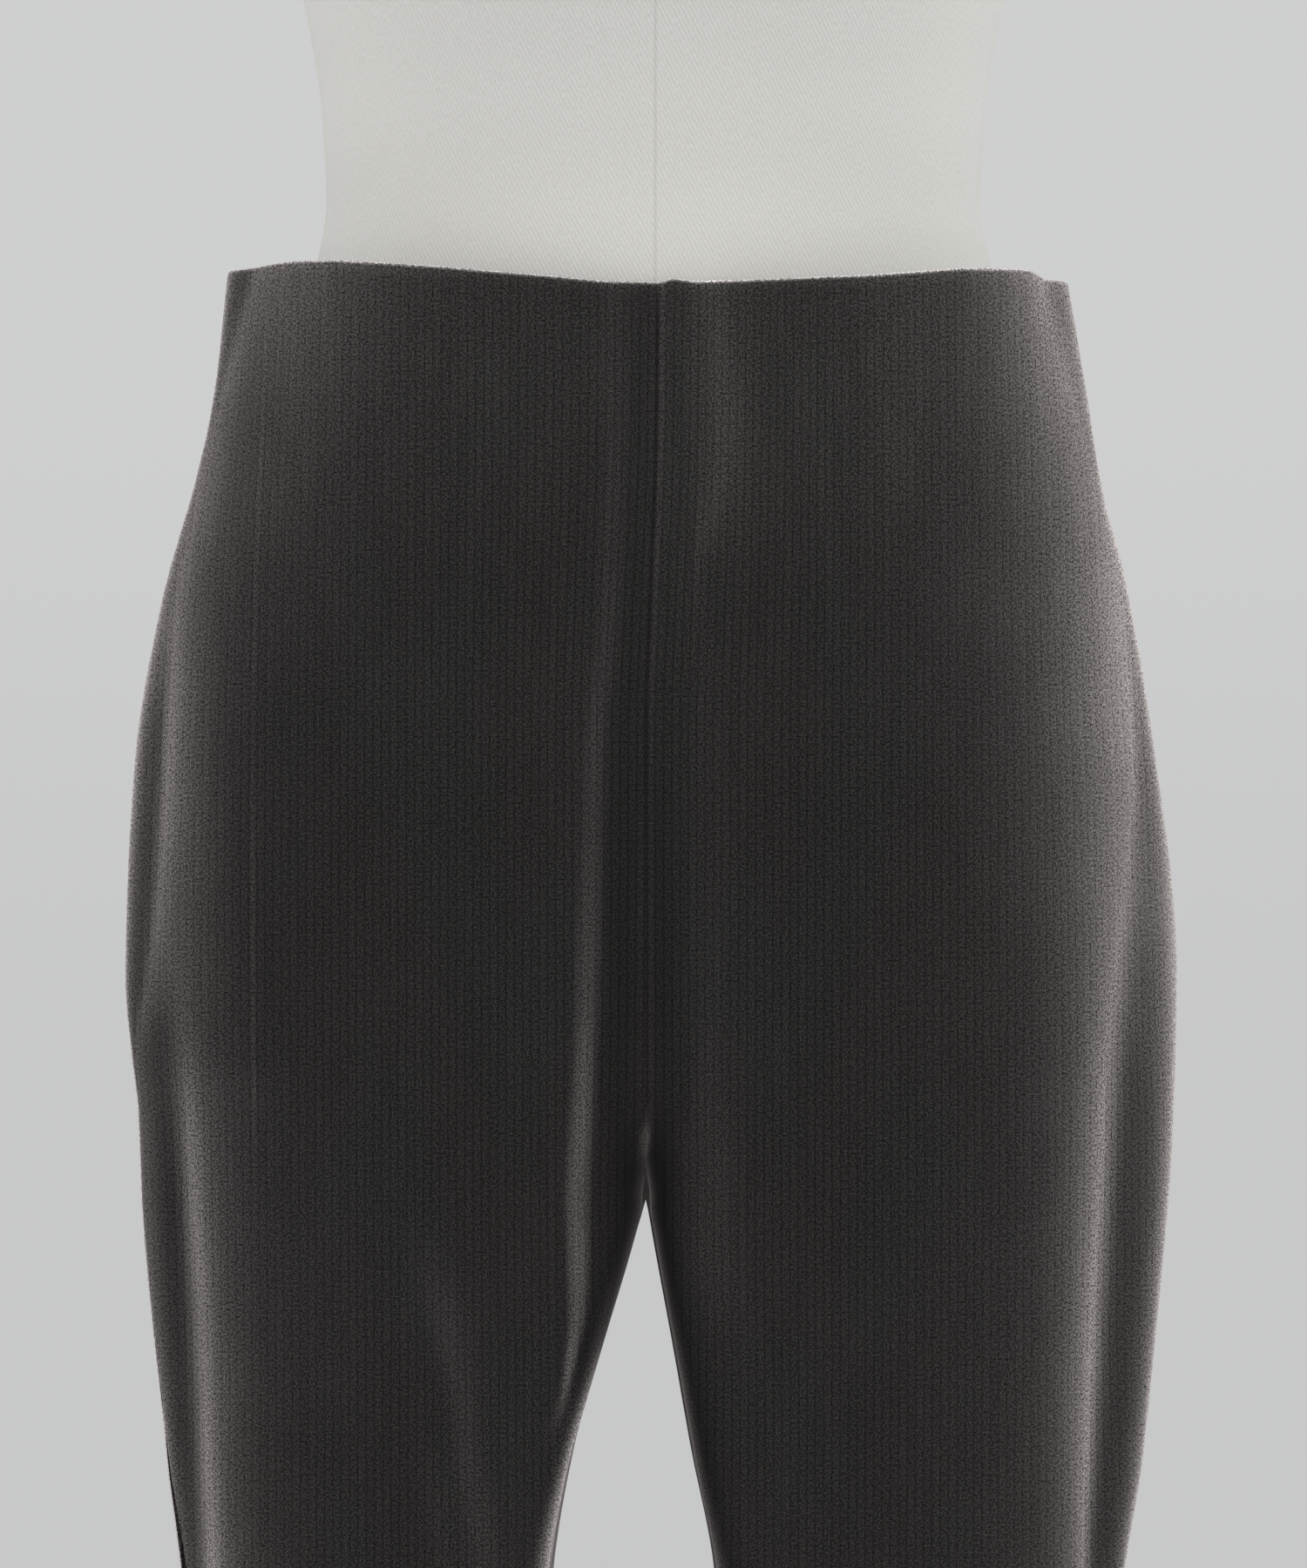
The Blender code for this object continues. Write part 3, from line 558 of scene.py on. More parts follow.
class Panel:
    """One panel's fine rows: points on the plain form, their normals and their place
    across the cloth. The first and last column of each row are its two edges."""

    def __init__(self, side, side_rows, sign, which):
        self.side, self.sign, self.which = side, sign, which
        self.name = f"{('front', 'back')[which]}_panel_{side}"
        self.heights = row_heights(which)
        lines = [section(side_rows, z, which) for z in self.heights]
        lengths, grains = [], []
        for line in lines:
            step = np.hypot(*np.diff(line, axis=0).T)
            along = np.concatenate([[0], np.cumsum(step)])
            outwards = int(np.argmax(line[:, 0]))
            grain = np.interp(GRAIN_X[which], line[: outwards + 1, 0], along[: outwards + 1])
            lengths.append(along)
            grains.append(grain)
        self.low = np.array([SEAM_GAP / 2 - g for g in grains])
        self.high = np.array([a[-1] - SEAM_GAP / 2 - g for a, g in zip(lengths, grains)])
        columns = wale_columns(self.low.min(), self.high.max())
        rows = len(lines)
        across = np.tile(columns, (rows, 1))
        clamped = np.clip(across, self.low[:, None], self.high[:, None])
        past_low = across > self.low[:, None] + EDGE_REACH
        self.inside = past_low & (across < self.high[:, None] - EDGE_REACH)
        self.across = np.column_stack([self.low, clamped, self.high])
        self.lines, self.lengths, self.grains = lines, lengths, grains
        self.points = self.evaluate(self.across, range(rows))
        self.normals = self.find_normals()

    def evaluate(self, across, rows):
        """Points of the plain form at distances across the cloth, on the given rows."""
        points = np.zeros((len(across), across.shape[1], 3))
        for i, r in enumerate(rows):
            along = across[i] + self.grains[r]
            x = np.interp(along, self.lengths[r], self.lines[r][:, 0])
            y = np.interp(along, self.lengths[r], self.lines[r][:, 1])
            x = np.maximum(x, SEAM_GAP / 2)
            z = self.heights[r]
            points[i] = np.column_stack([x * self.sign, y, z + waist_shift(self.side, x, y, z)])
        return points

    def find_normals(self):
        """Outward unit normals, from the rows above and below at the same place across. A
        seam's two panels share its normal: it lies in the centre plane at the centre seams
        and is free of depth at the inseams and the side seams."""
        count = len(self.heights)
        above = [max(r - 1, 0) for r in range(count)]
        below = [min(r + 1, count - 1) for r in range(count)]
        inward, outward = self.across - NORMAL_REACH, self.across + NORMAL_REACH
        over = self.evaluate(self.clamp(self.across, above), above)
        under = self.evaluate(self.clamp(self.across, below), below)
        level = range(count)
        first = self.evaluate(self.clamp(inward, level), level)
        second = self.evaluate(self.clamp(outward, level), level)
        facing = -1 if self.which == 0 else 1
        normals = np.cross(second - first, under - over) * self.sign * facing
        body = self.heights > CROTCH
        down = (under - over)[body, 0]
        normals[body, 0] = facing * np.column_stack([0 * down[:, 0], -down[:, 2], down[:, 1]])
        normals[~body, 0, 1] = 0
        normals[:, -1, 1] = 0
        return unit(normals)

    def seam_pulls(self):
        """Unit vectors along which the seams pull the inner and the outer edge in. The
        panels on both sides of a seam share them."""
        inner = self.normals[:, 0] * -1
        inner[self.heights <= CROTCH] = (self.sign, 0, 0)
        outer = np.tile([-self.sign * SIDE_DIP / SEAM_DIP, 0.0, 0.0], (len(self.heights), 1))
        return inner, outer

    def pulled_in(self):
        """The displacement of every point by the two seams."""
        inner, outer = self.seam_pulls()
        from_inner = self.across - self.low[:, None]
        from_outer = self.high[:, None] - self.across
        near_inner = np.exp(-((from_inner / SEAM_REACH) ** 2))[:, :, None]
        near_outer = np.exp(-((from_outer / SEAM_REACH) ** 2))[:, :, None]
        return SEAM_DIP * (near_inner * inner[:, None, :] + near_outer * outer[:, None, :])

    def clamp(self, across, rows):
        rows = list(rows)
        return np.clip(across, self.low[rows][:, None], self.high[rows][:, None])

    def clear_of_seams(self):
        """0 at the panel's edges, where the pile is pressed into the seam, and 1 inside."""
        from_edge = np.minimum(self.across - self.low[:, None], self.high[:, None] - self.across)
        return eased(from_edge / PILE_PRESSED)

    def shade(self):
        # Painted light and shade on the pile in bands and between the thighs, with darker seams and
        # lighter wales
        x, z = np.abs(self.points[:, :, 0]), self.points[:, :, 2]
        shade = seam_and_painted_shade(self.name, x, z, self.across - self.low[:, None])
        top, low = THIGH_ROWS[self.side]
        between = eased((top - z) / THIGH_BLEND) * eased((z - low) / THIGH_BLEND)
        # Painted shade between the thighs, where the other leg keeps the light off
        shade += THIGH_PAINTED_SHADE * between * np.exp(-(((x - x[:, :1]) / THIGH_REACH) ** 2))
        for panel, number, top, low, amount in LIGHT_WALES:
            if panel == self.name:
                on_wale = np.abs(self.across / WALE - number - 0.5) < LIGHT_WALE_HALF
                below_top = eased((top - z) / LIGHT_WALE_BLEND)
                shade += amount * on_wale * below_top * eased((z - low) / LIGHT_WALE_BLEND)
        return shade

    def relief(self):
        """How far the cloth, without its wales, stands off the plain form."""
        x, z = np.abs(self.points[:, :, 0]), self.points[:, :, 2]
        from_inner = self.across - self.low[:, None]
        relief = -fold_depth(self.name, x, z)
        if self.side == "left":
            rise, sink = ALLOWANCE_SLOPES
            plateau = eased(from_inner / rise) * eased((ALLOWANCE - from_inner) / sink + 0.5)
            relief += ALLOWANCE_RISE * plateau
        return relief


def shell(panel, material):
    """A closed thin shell: wales outside, turned edges at waist and hem, plain inside."""
    facing_out = panel.normals
    relief = panel.relief()
    cloth = panel.points + facing_out * relief[:, :, None] + panel.pulled_in()
    shade = panel.shade()
    pile = wale_height(panel.across) * WALE_HEIGHT * panel.clear_of_seams()
    rows = len(panel.heights)
    thick = np.full(rows, THICKNESS)
    for edge in (WAIST, HEM):
        share = eased(1 - np.abs(panel.heights - edge) / TURNING)
        thick = np.maximum(thick, THICKNESS + (TURNED_THICKNESS - THICKNESS) * share)

    def turned(row, neighbour, pile):
        """A half round from the outer face over the edge to the inner face."""
        away = unit(cloth[row] - cloth[neighbour])
        radius = thick[row] / 2
        steps = []
        for angle in np.linspace(0, math.pi, TURN_STEPS + 2):
            turn_out = facing_out[row] * math.cos(angle) + away * math.sin(angle)
            centre = cloth[row] - facing_out[row] * radius - away * radius
            steps.append(centre + turn_out * (radius + pile[row][:, None]))
        return steps

    inner_rows = list(range(rows - 1 - INNER_EVERY, 2, -INNER_EVERY))

    def ring(pile):
        """Rows of points down the outer face, round the hem, up inside and round the waist."""
        over_waist = turned(0, 1, pile)
        under_hem = turned(rows - 1, rows - 2, pile)
        outer = list(cloth + facing_out * pile[:, :, None])
        outer[0], outer[-1] = over_waist[0], under_hem[0]
        inside = [cloth[r] - facing_out[r] * thick[r] for r in inner_rows]
        return outer + under_hem[1:] + inside + over_waist[:0:-1]

    turn_rows = TURN_STEPS + 1
    ring_rows = list(range(rows)) + [rows - 1] * turn_rows + inner_rows + [0] * turn_rows
    return close_ring(panel, ring(pile), ring(0 * pile), ring_rows, shade, material)


def close_ring(panel, ring_points, plain_points, ring_rows, shade, material):
    """Joins the ring of rows to one closed mesh. Columns beyond an edge share its point."""
    columns = panel.across.shape[1]
    points, plain, grain, index = [], [], [], []
    total = 0
    for row_points, plain_row, r in zip(ring_points, plain_points, ring_rows):
        inside = np.concatenate([[True], panel.inside[r], [True]])
        number = np.cumsum(inside) - 1 + total
        first_inside = int(np.argmax(panel.inside[r])) + 1
        row_index = number.copy()
        row_index[1:first_inside] = number[0]
        last_inside = columns - 2 - int(np.argmax(panel.inside[r][::-1]))
        row_index[last_inside + 1 :] = number[-1]
        points.append(row_points[inside])
        plain.append(plain_row[inside])
        place = [panel.across[r] * MM, row_points[:, 2] * MM, shade[r]]
        grain.append(np.column_stack(place)[inside])
        index.append(row_index)
        total += int(inside.sum())
    ring = len(index)
    faces = []
    for i in range(ring):
        here, after = index[i], index[(i + 1) % ring]
        for c in range(columns - 1):
            corners = (here[c], after[c], after[c + 1], here[c + 1])
            kept = [p for n, p in enumerate(corners) if p != corners[n - 1]]
            if len(kept) > 2:
                faces.append(kept)
    rims = []
    for edge in (0, -1):
        loop = [row[edge] for row in index]
        rims.append(edge_faces(loop, ring_rows, len(panel.heights)))
    faces += [face[::-1] for face in rims[0]] + rims[1]
    if (panel.sign > 0) == (panel.which == 0):
        faces = [face[::-1] for face in faces]
    made = mesh_piece(panel.name + "_cloth", swayed(np.vstack(points)), faces, material)
    soften(made.data, swayed(np.vstack(plain)))
    set_grain(made, np.vstack(grain))
    return made


def edge_faces(loop, ring_rows, outer_count):
    """Triangles that close one edge of the ring: outer rows against the inner ones."""
    ring = len(loop)
    outer = list(range(outer_count))
    inner = list(range(ring - 1, outer_count - 1, -1))
    faces = []
    i, k = 0, 0
    while i < len(outer) - 1 or k < len(inner) - 1:
        step_outer = k == len(inner) - 1 or (
            i < len(outer) - 1 and ring_rows[outer[i + 1]] <= ring_rows[inner[k + 1]]
        )
        if step_outer:
            faces.append([loop[outer[i]], loop[outer[i + 1]], loop[inner[k]]])
            i += 1
        else:
            faces.append([loop[outer[i]], loop[inner[k + 1]], loop[inner[k]]])
            k += 1
    return faces


# ================================================================ meshes


def mesh_piece(name, points, faces, material, sharp_angle=60.0):
    """An object from points in millimetres, smooth up to the sharp angle in degrees."""
    mesh = bpy.data.meshes.new(name)
    corner_counts = np.array([len(face) for face in faces], np.int32)
    corners = np.concatenate([np.asarray(face, np.int32) for face in faces])
    mesh.vertices.add(len(points))
    mesh.vertices.foreach_set("co", (points * MM).astype(np.float32).ravel())
    mesh.loops.add(len(corners))
    mesh.loops.foreach_set("vertex_index", corners)
    mesh.polygons.add(len(faces))
    starts = np.concatenate([[0], np.cumsum(corner_counts)[:-1]]).astype(np.int32)
    mesh.polygons.foreach_set("loop_start", starts)
    mesh.update(calc_edges=True)
    mesh.shade_smooth()
    mesh.set_sharp_from_angle(angle=math.radians(sharp_angle))
    mesh.materials.append(material)
    shown = bpy.data.objects.new(name, mesh)
    bpy.context.scene.collection.objects.link(shown)
    return shown


def corner_directions(mesh):
    directions = np.empty(len(mesh.loops) * 3, np.float32)
    mesh.corner_normals.foreach_get("vector", directions)
    return directions.reshape(-1, 3)


def soften(mesh, plain_points):
    """Shades the pile mostly as the plain cloth below it, since its fuzz hides its form."""
    below = mesh.copy()
    below.vertices.foreach_set("co", (plain_points * MM).astype(np.float32).ravel())
    below.update()
    mixed = corner_directions(mesh) * PILE_RELIEF + corner_directions(below) * (1 - PILE_RELIEF)
    bpy.data.meshes.remove(below)
    mesh.normals_split_custom_set(unit(mixed).tolist())


def set_grain(shown, grain):
    """Each point's place across and along the cloth, in metres, and how much lighter or darker
    its pile is coloured, painted light and shade among it.
    """
    attribute = shown.data.attributes.new("grain", "FLOAT_VECTOR", "POINT")
    attribute.data.foreach_set("vector", grain.astype(np.float32).ravel())


# ================================================================ dress form


def make_form(material):
    """The torso: smooth rings from the underside to the top of the neck."""
    low, high = FORM_SECTIONS[0][0], FORM_SECTIONS[-1][0]
    heights = np.linspace(low, high, round((high - low) / FORM_ROW_STEP) + 1)
    extra = [low + up for up in FORM_LOW_ROWS] + [high - down for down in FORM_HIGH_ROWS]
    heights = np.unique(np.concatenate([heights, extra]))
    start = math.pi / 2 + FORM_SEAM / 2
    angle = np.linspace(start, start + 2 * math.pi - FORM_SEAM, FORM_ROUND)
    cos, sin = np.cos(angle), np.sin(angle)
    rings, grains = [], []
    for z in heights:
        row = read_row(FORM_COLUMNS, FORM_SECTIONS, z)
        power = 2 / row["square"]
        depth = np.where(sin > 0, row["back"], row["front"])
        x = FORM_X + row["half"] * np.sign(cos) * np.abs(cos) ** power
        y = depth * np.sign(sin) * np.abs(sin) ** power
        level = np.full(FORM_ROUND, z)
        rings.append(np.column_stack([x, y, level]))
        step = np.hypot(np.diff(x), np.diff(y))
        around = np.concatenate([[0], np.cumsum(step)])
        around -= np.interp(1.5 * math.pi, angle, around)
        grains.append(np.column_stack([around, level, 0 * level]) * MM)
    faces = [list(range(FORM_ROUND))[::-1]]
    for r in range(len(rings) - 1):
        here, above = r * FORM_ROUND, (r + 1) * FORM_ROUND
        for c in range(FORM_ROUND):
            after = (c + 1) % FORM_ROUND
            faces.append([here + c, here + after, above + after, above + c])
    top = (len(rings) - 1) * FORM_ROUND
    faces.append([top + c for c in range(FORM_ROUND)])
    made = mesh_piece("dress_form_cover", np.vstack(rings), faces, material, FORM_SHARP)
    set_grain(made, np.vstack(grains))
    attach(made, "root")
    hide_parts("dress_form_torso")


# ================================================================ materials


class Nodes:
    """A short way to write the nodes of a material or of the world."""

    def __init__(self, owner, shader="Principled BSDF"):
        owner.use_nodes = True
        self.owner = owner
        self.tree = owner.node_tree
        self.shader = self.tree.nodes[shader]

    def add(self, kind, inputs=None, **settings):
        node = self.tree.nodes.new(kind)
        for name, value in settings.items():
            setattr(node, name, value)
        for name, value in (inputs or {}).items():
            self.put(node.inputs[name], value)
        return node

    def put(self, socket, value):
        if isinstance(value, bpy.types.NodeSocket):
            self.tree.links.new(value, socket)
        else:
            socket.default_value = value

    def finish(self, **values):
        """Sets the shader's sockets, named with _ for a space."""
        for name, value in values.items():
            self.put(self.shader.inputs[name.replace("_", " ")], value)
        return self.owner

    def math(self, operation, first, second=0.0, third=0.0):
        node = self.add("ShaderNodeMath", operation=operation)
        for socket, value in zip(node.inputs, (first, second, third)):
            self.put(socket, value)
        return node.outputs[0]

    def product(self, *factors):
        total = factors[0]
        for factor in factors[1:]:
            total = self.math("MULTIPLY", total, factor)
        return total

    def scaled(self, colour, factor):
        node = self.add("ShaderNodeVectorMath", operation="SCALE")
        self.put(node.inputs[0], colour)
        self.put(node.inputs["Scale"], factor)
        return node.outputs[0]

    def mix(self, factor, first, second):
        node = self.add("ShaderNodeMix", data_type="RGBA")
        self.put(node.inputs[0], factor)
        self.put(node.inputs[6], first)
        self.put(node.inputs[7], second)
        return node.outputs[2]

    def spread(self, value, low, high, to_low, to_high, smooth=True):
        kind = "SMOOTHSTEP" if smooth else "LINEAR"
        node = self.add("ShaderNodeMapRange", interpolation_type=kind)
        for socket, number in zip(node.inputs, (value, low, high, to_low, to_high)):
            self.put(socket, number)
        return node.outputs[0]

    def noise(self, place, scale, detail=2.0, rough=0.5):
        node = self.add("ShaderNodeTexNoise")
        self.put(node.inputs["Vector"], place)
        self.put(node.inputs["Scale"], scale)
        self.put(node.inputs["Detail"], detail)
        self.put(node.inputs["Roughness"], rough)
        return node.outputs["Fac"]

    def cloth_noise(self, across, along, scales, detail=2.0, rough=0.5, layer=0.0):
        """Noise with its own scale across and along the cloth."""
        place = self.place(
            self.math("MULTIPLY", across, scales[0]), self.math("MULTIPLY", along, scales[1]), layer
        )
        return self.noise(place, 1.0, detail, rough)

    def grain(self):
        """Metres across and along the cloth, and how much lighter or darker the pile is coloured,
        painted light and shade among it.
        """
        place = self.add("ShaderNodeAttribute", attribute_name="grain").outputs["Vector"]
        apart = self.add("ShaderNodeSeparateXYZ", {"Vector": place})
        return apart.outputs["X"], apart.outputs["Y"], apart.outputs["Z"]

    def place(self, x, y, z):
        return self.add("ShaderNodeCombineXYZ", {"X": x, "Y": y, "Z": z}).outputs[0]


# Noise scales across and along the cloth, a metre: the pile's short tufts, their fuzz,
# broad patches of nap and of warmer colour. The long streaks' first scale is for a wale.
TUFTS = (1500, 1200)
FUZZ = (3000, 2600)
PATCHES = (22, 14)
WARMTH = (30, 12)
WARMTH_LAYER = 7.0
STREAKS = (0.83, 26)
# How much tufts and fuzz, streaks, and patches lighten or darken the pile
SPECKLE = 0.75
STREAK_SHADE = 0.1
PATCH_SHADE = 0.08
# A groove's width as a share of the wale, and the shares of the pile's colour and of its
# painted sheen left in it by painted shade
GROOVE = (0.02, 0.2)
GROOVE_PAINTED_SHADE = 0.62
GROOVE_PAINTED_SHEEN = 0.95
# The pile is never darker than these shares of its colour, by its nap with its painted light
# and shade, and by its speckle
LEAST_NAP_AND_PAINTED_LIGHT = 0.06
LEAST_SPECKLE = 0.05
PILE_COLOURS = ((0.0162, 0.0153, 0.0145, 1), (0.0157, 0.0154, 0.0147, 1))
# Painted sheen in the pile's colour, lighter where the pile is seen from the side: how much,
# how steeply with the angle, at most how much, how speckled, and in which colour
PAINTED_SHEEN = 0.9
PAINTED_SHEEN_POWER = 1.6
MOST_PAINTED_SHEEN = 0.55
PAINTED_SHEEN_SPECKLE = 0.8
PAINTED_SHEEN_COLOUR = (1.0, 0.915, 0.90)
SHEEN_COLOUR = (1.0, 0.91, 0.895, 1.0)


def corduroy_material():
    m = Nodes(bpy.data.materials.new("charcoal_corduroy"))
    across, down, nap_and_painted_light = m.grain()
    wales = m.math("DIVIDE", across, WALE * MM)
    from_middle = m.math("ABSOLUTE", m.math("SUBTRACT", m.math("FRACT", wales), 0.5))
    from_groove = m.math("SUBTRACT", 0.5, from_middle)
    crown = m.spread(from_groove, *GROOVE, 0.0, 1.0)
    tufts = m.cloth_noise(across, down, TUFTS, 2.0, 0.6)
    fuzz = m.cloth_noise(across, down, FUZZ, 1.0, 0.5)
    streaks = m.cloth_noise(m.math("FLOOR", wales), down, STREAKS, 3.0, 0.6)
    patches = m.cloth_noise(across, down, PATCHES, 3.0, 0.55)
    speckle = m.math(
        "ADD",
        m.spread(tufts, 0.38, 0.62, -SPECKLE, SPECKLE),
        m.spread(fuzz, 0.36, 0.64, -SPECKLE, SPECKLE),
    )
    for pattern, shade in ((streaks, STREAK_SHADE), (patches, PATCH_SHADE)):
        speckle = m.math("ADD", speckle, m.spread(pattern, 0.3, 0.7, -shade, shade))
    # Painted light and shade in bands and between the thighs, with darker seams and lighter wales
    nap_and_painted_light_factor = m.math("MAXIMUM", m.math("ADD", nap_and_painted_light, 1.0), LEAST_NAP_AND_PAINTED_LIGHT)
    speckled = m.math("MAXIMUM", m.math("ADD", speckle, 1.0), LEAST_SPECKLE)
    # Painted shade in the grooves
    in_groove = m.spread(crown, 0.0, 1.0, GROOVE_PAINTED_SHADE, 1.0, smooth=False)
    light = m.product(speckled, nap_and_painted_light_factor, in_groove)
    warm = m.cloth_noise(across, down, WARMTH, layer=WARMTH_LAYER)
    colour = m.mix(m.spread(warm, 0.35, 0.65, 0.0, 1.0), *PILE_COLOURS)
    # Painted sheen: the colour is lightened where the pile is seen from the side
    aside = m.add("ShaderNodeLayerWeight", {"Blend": 0.5}).outputs["Facing"]
    painted_sheen = m.math("MINIMUM", m.product(m.math("POWER", aside, PAINTED_SHEEN_POWER), PAINTED_SHEEN), MOST_PAINTED_SHEEN)
    # Less painted sheen in the grooves
    in_groove = m.spread(crown, 0.0, 1.0, GROOVE_PAINTED_SHEEN, 1.0, smooth=False)
    painted_sheen = m.product(painted_sheen, m.math("MULTIPLY_ADD", speckle, PAINTED_SHEEN_SPECKLE, 1.0), nap_and_painted_light_factor, in_groove)
    both = m.add("ShaderNodeVectorMath", operation="ADD")
    m.put(both.inputs[0], m.scaled(colour, light))
    m.put(both.inputs[1], m.scaled(PAINTED_SHEEN_COLOUR, painted_sheen))
    lift = m.math("ADD", m.math("MULTIPLY", tufts, 0.6), m.math("MULTIPLY", fuzz, 0.4))
    bump = m.add("ShaderNodeBump", {"Strength": 0.4, "Distance": 0.00025, "Height": lift})
    return m.finish(
        Base_Color=both.outputs[0],
        Normal=bump.outputs[0],
        Roughness=1.0,
        Specular_IOR_Level=0.1,
        Sheen_Weight=0.3,
        Sheen_Roughness=0.5,
        Sheen_Tint=SHEEN_COLOUR,
    )


# The twill's lines: metres from one to the next, and how they slant; noise scales of its
# threads and its faint soiling; and where the centre front seam's dark line is
TWILL_STEP = 0.00135
TWILL_SLANT = (0.883, 0.469)
THREADS = (1600, 700)
SOIL = (9, 9)
TWILL_COLOURS = ((0.60, 0.59, 0.56, 1), (0.675, 0.67, 0.645, 1))
SOIL_COLOUR = (0.64, 0.63, 0.58, 1)
FORM_SEAM_X = 0.0006
FORM_SEAM_WIDTH = (0.0002, 0.0008)
FORM_SEAM_COLOUR = (0.45, 0.44, 0.42, 1)


def twill_material():
    m = Nodes(bpy.data.materials.new("form_twill_cloth"))
    across, up, _ = m.grain()
    slant = m.math(
        "ADD",
        m.math("MULTIPLY", across, TWILL_SLANT[0]),
        m.math("MULTIPLY", up, TWILL_SLANT[1]),
    )
    lines = m.math("SINE", m.math("MULTIPLY", slant, 2 * math.pi / TWILL_STEP))
    threads = m.cloth_noise(across, up, THREADS)
    soil = m.cloth_noise(across, up, SOIL, 3.0)
    woven = m.spread(threads, 0.3, 0.7, 0.2, 0.8)
    woven = m.math("ADD", m.math("MULTIPLY", lines, 0.22), woven)
    colour = m.mix(m.spread(woven, 0.0, 1.0, 0.0, 1.0), *TWILL_COLOURS)
    colour = m.mix(m.spread(soil, 0.4, 0.7, 0.0, 0.12), colour, SOIL_COLOUR)
    from_seam = m.math("ABSOLUTE", m.math("SUBTRACT", across, FORM_SEAM_X))
    seam = m.spread(from_seam, *FORM_SEAM_WIDTH, 0.35, 0.0)
    colour = m.mix(seam, colour, FORM_SEAM_COLOUR)
    lift = m.math("ADD", m.math("MULTIPLY", lines, 0.5), threads)
    bump = m.add("ShaderNodeBump", {"Strength": 0.35, "Distance": 0.00025, "Height": lift})
    return m.finish(
        Base_Color=colour, Normal=bump.outputs[0], Roughness=0.85, Sheen_Weight=0.15
    )


STEEL_COLOURS = ((0.60, 0.60, 0.59, 1), (0.68, 0.68, 0.67, 1))
# How finely the brushing is drawn round and along the steel
BRUSHING = (900, 900, 60)


def steel_material():
    m = Nodes(bpy.data.materials.new("brushed_stand_steel"))
    place = m.add("ShaderNodeTexCoord").outputs["Object"]
    stretch = m.add("ShaderNodeMapping", {"Vector": place, "Scale": BRUSHING})
    streaks = m.noise(stretch.outputs[0], 1.0)
    wear = m.noise(place, 14.0, 3.0)
    rough = m.math(
        "ADD", m.spread(streaks, 0.3, 0.7, 0.26, 0.40), m.spread(wear, 0.3, 0.7, -0.03, 0.05)
    )
    bump = m.add("ShaderNodeBump", {"Strength": 0.12, "Distance": 0.0001, "Height": streaks})
    return m.finish(
        Base_Color=m.mix(wear, *STEEL_COLOURS),
        Roughness=rough,
        Normal=bump.outputs[0],
        Metallic=0.9,
    )


# ================================================================ setting

# Light from all round, and the brightness of the pale backdrop, low and high
AMBIENT = 0.25
PALE_LOW = 0.58
PALE_HIGH = 0.625
PALE_COLOUR = (0.99, 0.995, 1.0, 1.0)
# By the height of a direction: where the backdrop's tone rises and where it ends above.
# By its depth: where the backdrop starts behind the object.
PALE_RISE = (-0.045, 0.07)
PALE_TOP = (0.80, 0.90)
PALE_BEHIND = (0.25, 0.45)
FLOOR_RADIUS = 16.0
FLOOR_SIDES = 96
FLOOR_COLOUR = (0.70, 0.70, 0.708, 1)
# Between these distances the floor turns from lit paper to the backdrop's even tone
FLOOR_TURN = (2.6, 4.4)
# Softboxes: place, width and height in metres, and power in watts. All face the middle.
LAMPS = (
    ("front_softbox", (0.0, -1.9, 3.0), (3.0, 1.4), 40),
    ("left_softbox", (-2.6, -1.2, 1.9), (1.6, 2.2), 30),
    ("right_softbox", (2.6, -1.0, 1.9), (1.6, 2.2), 34),
    ("left_rim", (-2.4, 0.9, 1.5), (1.2, 2.2), 10),
    ("right_rim", (2.4, 0.9, 1.5), (1.2, 2.2), 10),
)
LIT_MIDDLE = (0.0, 0.0, 0.85)


def floor_material():
    """Pale paper near the object. Far off it is lit as evenly as the backdrop."""
    m = Nodes(bpy.data.materials.new("pale_paper"))
    place = m.add("ShaderNodeTexCoord").outputs["Object"]
    flat = m.add("ShaderNodeVectorMath", {0: place, 1: (1.0, 1.0, 0.0)}, operation="MULTIPLY")
    away = m.add("ShaderNodeVectorMath", {0: flat.outputs[0]}, operation="LENGTH")
    far = m.spread(away.outputs["Value"], *FLOOR_TURN, 0.0, 1.0)
    return m.finish(
        Base_Color=m.mix(far, FLOOR_COLOUR, (0, 0, 0, 1)),
        Emission_Color=PALE_COLOUR,
        Emission_Strength=m.math("MULTIPLY", far, PALE_LOW),
        Roughness=0.9,
        Specular_IOR_Level=0.0,
    )


def make_stage():
    """A round pale floor, wide enough for a view from any side."""
    around = np.linspace(0, 2 * math.pi, FLOOR_SIDES, endpoint=False)
    points = np.column_stack([np.cos(around), np.sin(around), 0 * around]) * FLOOR_RADIUS / MM
    floor = mesh_piece("studio_floor", points, [list(range(FLOOR_SIDES))], floor_material())


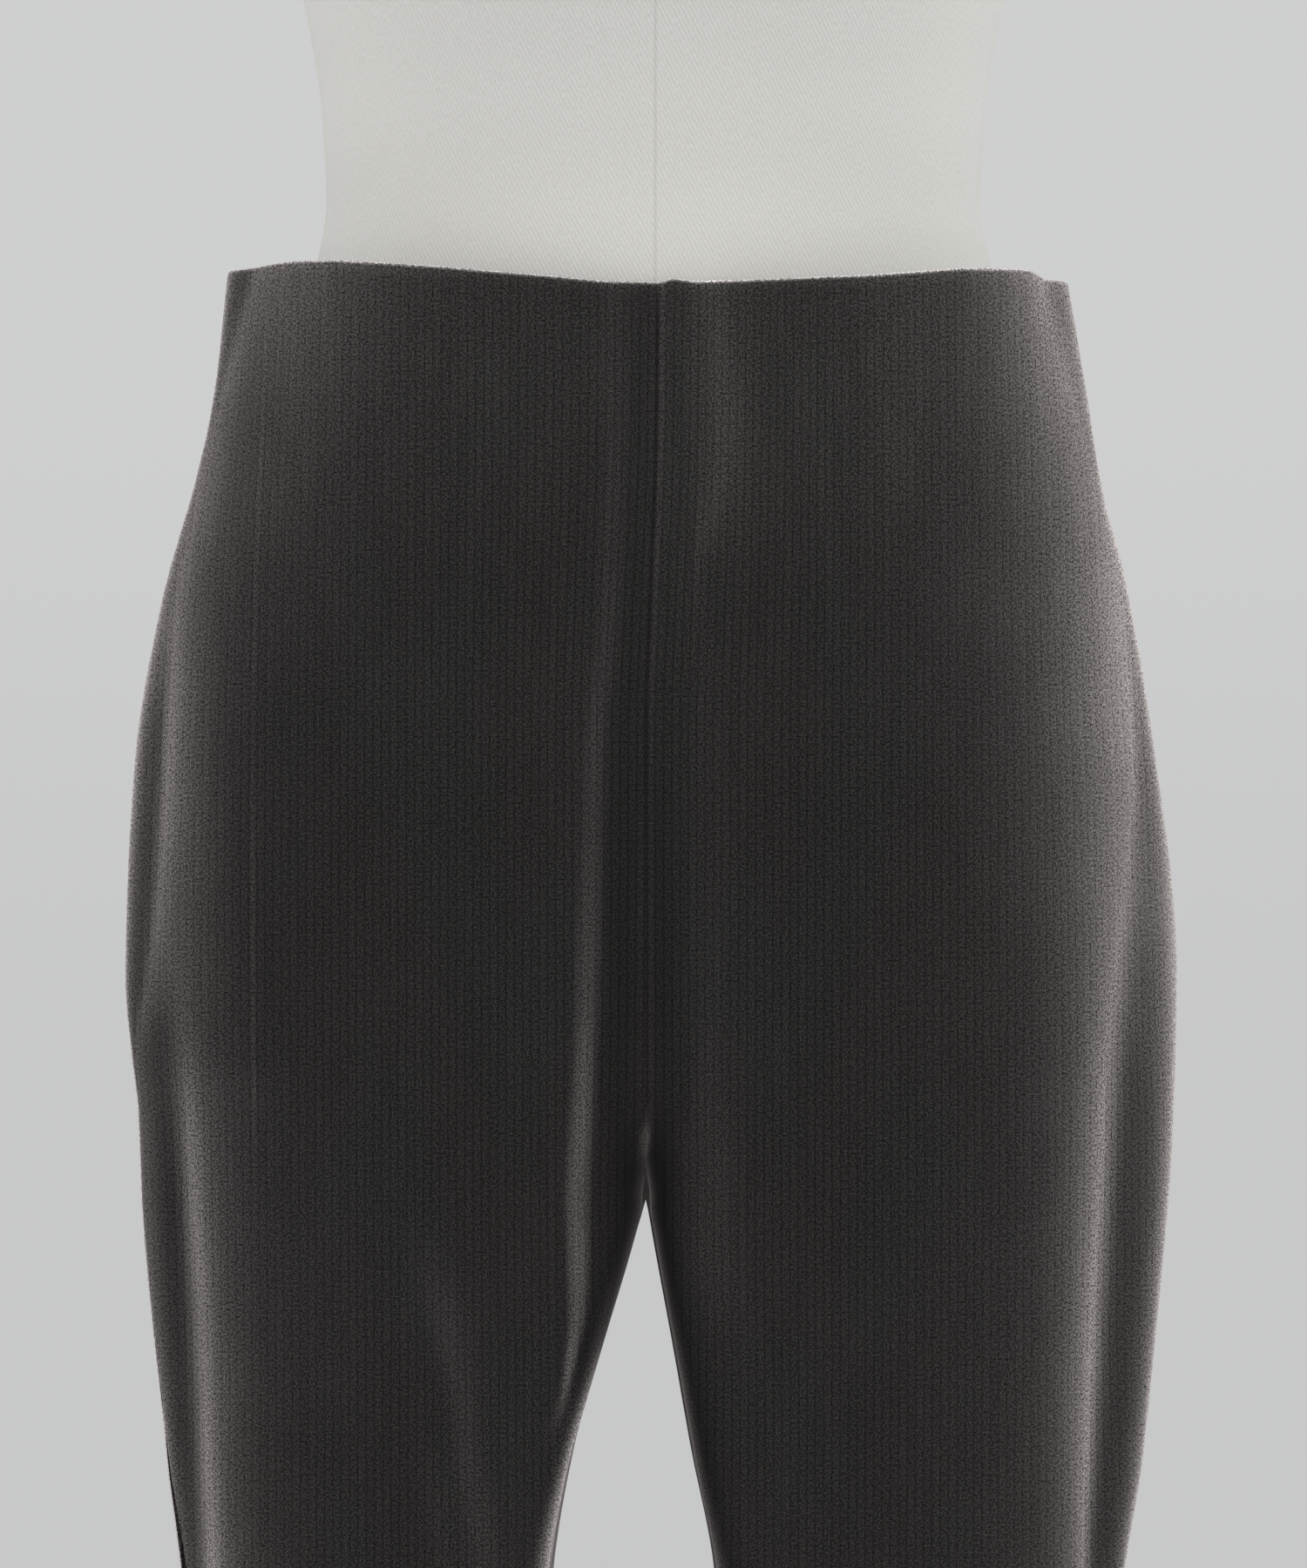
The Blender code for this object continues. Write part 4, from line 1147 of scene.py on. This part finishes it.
def make_lights():
    for name, place, size, power in LAMPS:
        data = bpy.data.lights.new(name, "AREA")
        data.shape = "RECTANGLE"
        data.size, data.size_y = size
        data.energy = power
        lamp = bpy.data.objects.new(name, data)
        bpy.context.scene.collection.objects.link(lamp)
        lamp.location = place
        direction = Vector(LIT_MIDDLE) - Vector(place)
        lamp.rotation_euler = direction.to_track_quat("-Z", "Y").to_euler()


def make_world():
    """Even light from all round, and a pale backdrop behind the object."""
    world = bpy.data.worlds.new("studio")
    bpy.context.scene.world = world
    w = Nodes(world, "Background")
    direction = w.add("ShaderNodeTexCoord").outputs["Generated"]
    split = w.add("ShaderNodeSeparateXYZ", {"Vector": direction})
    pale = w.spread(split.outputs["Z"], *PALE_RISE, PALE_LOW, PALE_HIGH)
    behind = w.spread(split.outputs["Y"], *PALE_BEHIND, AMBIENT, pale)
    light = w.spread(split.outputs["Z"], *PALE_TOP, behind, AMBIENT)
    w.finish(Color=PALE_COLOUR, Strength=light)


def make_camera():
    data = bpy.data.cameras.new("photo_camera")
    data.sensor_fit = "VERTICAL"
    data.angle_y = 2 * math.atan(VIEW_HEIGHT / 2 / -CAMERA_Y)
    data.clip_end = CAMERA_REACH
    camera = bpy.data.objects.new("photo_camera", data)
    camera.location = (CAMERA_X * MM, CAMERA_Y * MM, CAMERA_Z * MM)
    camera.rotation_euler = (math.pi / 2, 0.0, 0.0)
    bpy.context.scene.collection.objects.link(camera)
    bpy.context.scene.camera = camera


# ================================================================ all of it


def make_trousers(material):
    sides = (("right", RIGHT_WIDTHS, -1), ("left", LEFT_WIDTHS, 1))
    for side, side_rows, sign in sides:
        for which in (0, 1):
            panel = Panel(side, side_rows, sign, which)
            piece = shell(panel, material)
            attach(piece, "root")
            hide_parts(panel.name)


def main():
    bpy.context.scene.view_settings.view_transform = "Standard"
    make_camera()
    make_form(twill_material())
    make_trousers(corduroy_material())
    steel = steel_material()
    for name in ("form_flange", "pole", "pole_socket", "base_plate"):
        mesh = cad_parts[name].data
        mesh.materials.clear()
        mesh.materials.append(steel)
    make_stage()
    make_lights()
    make_world()


main()
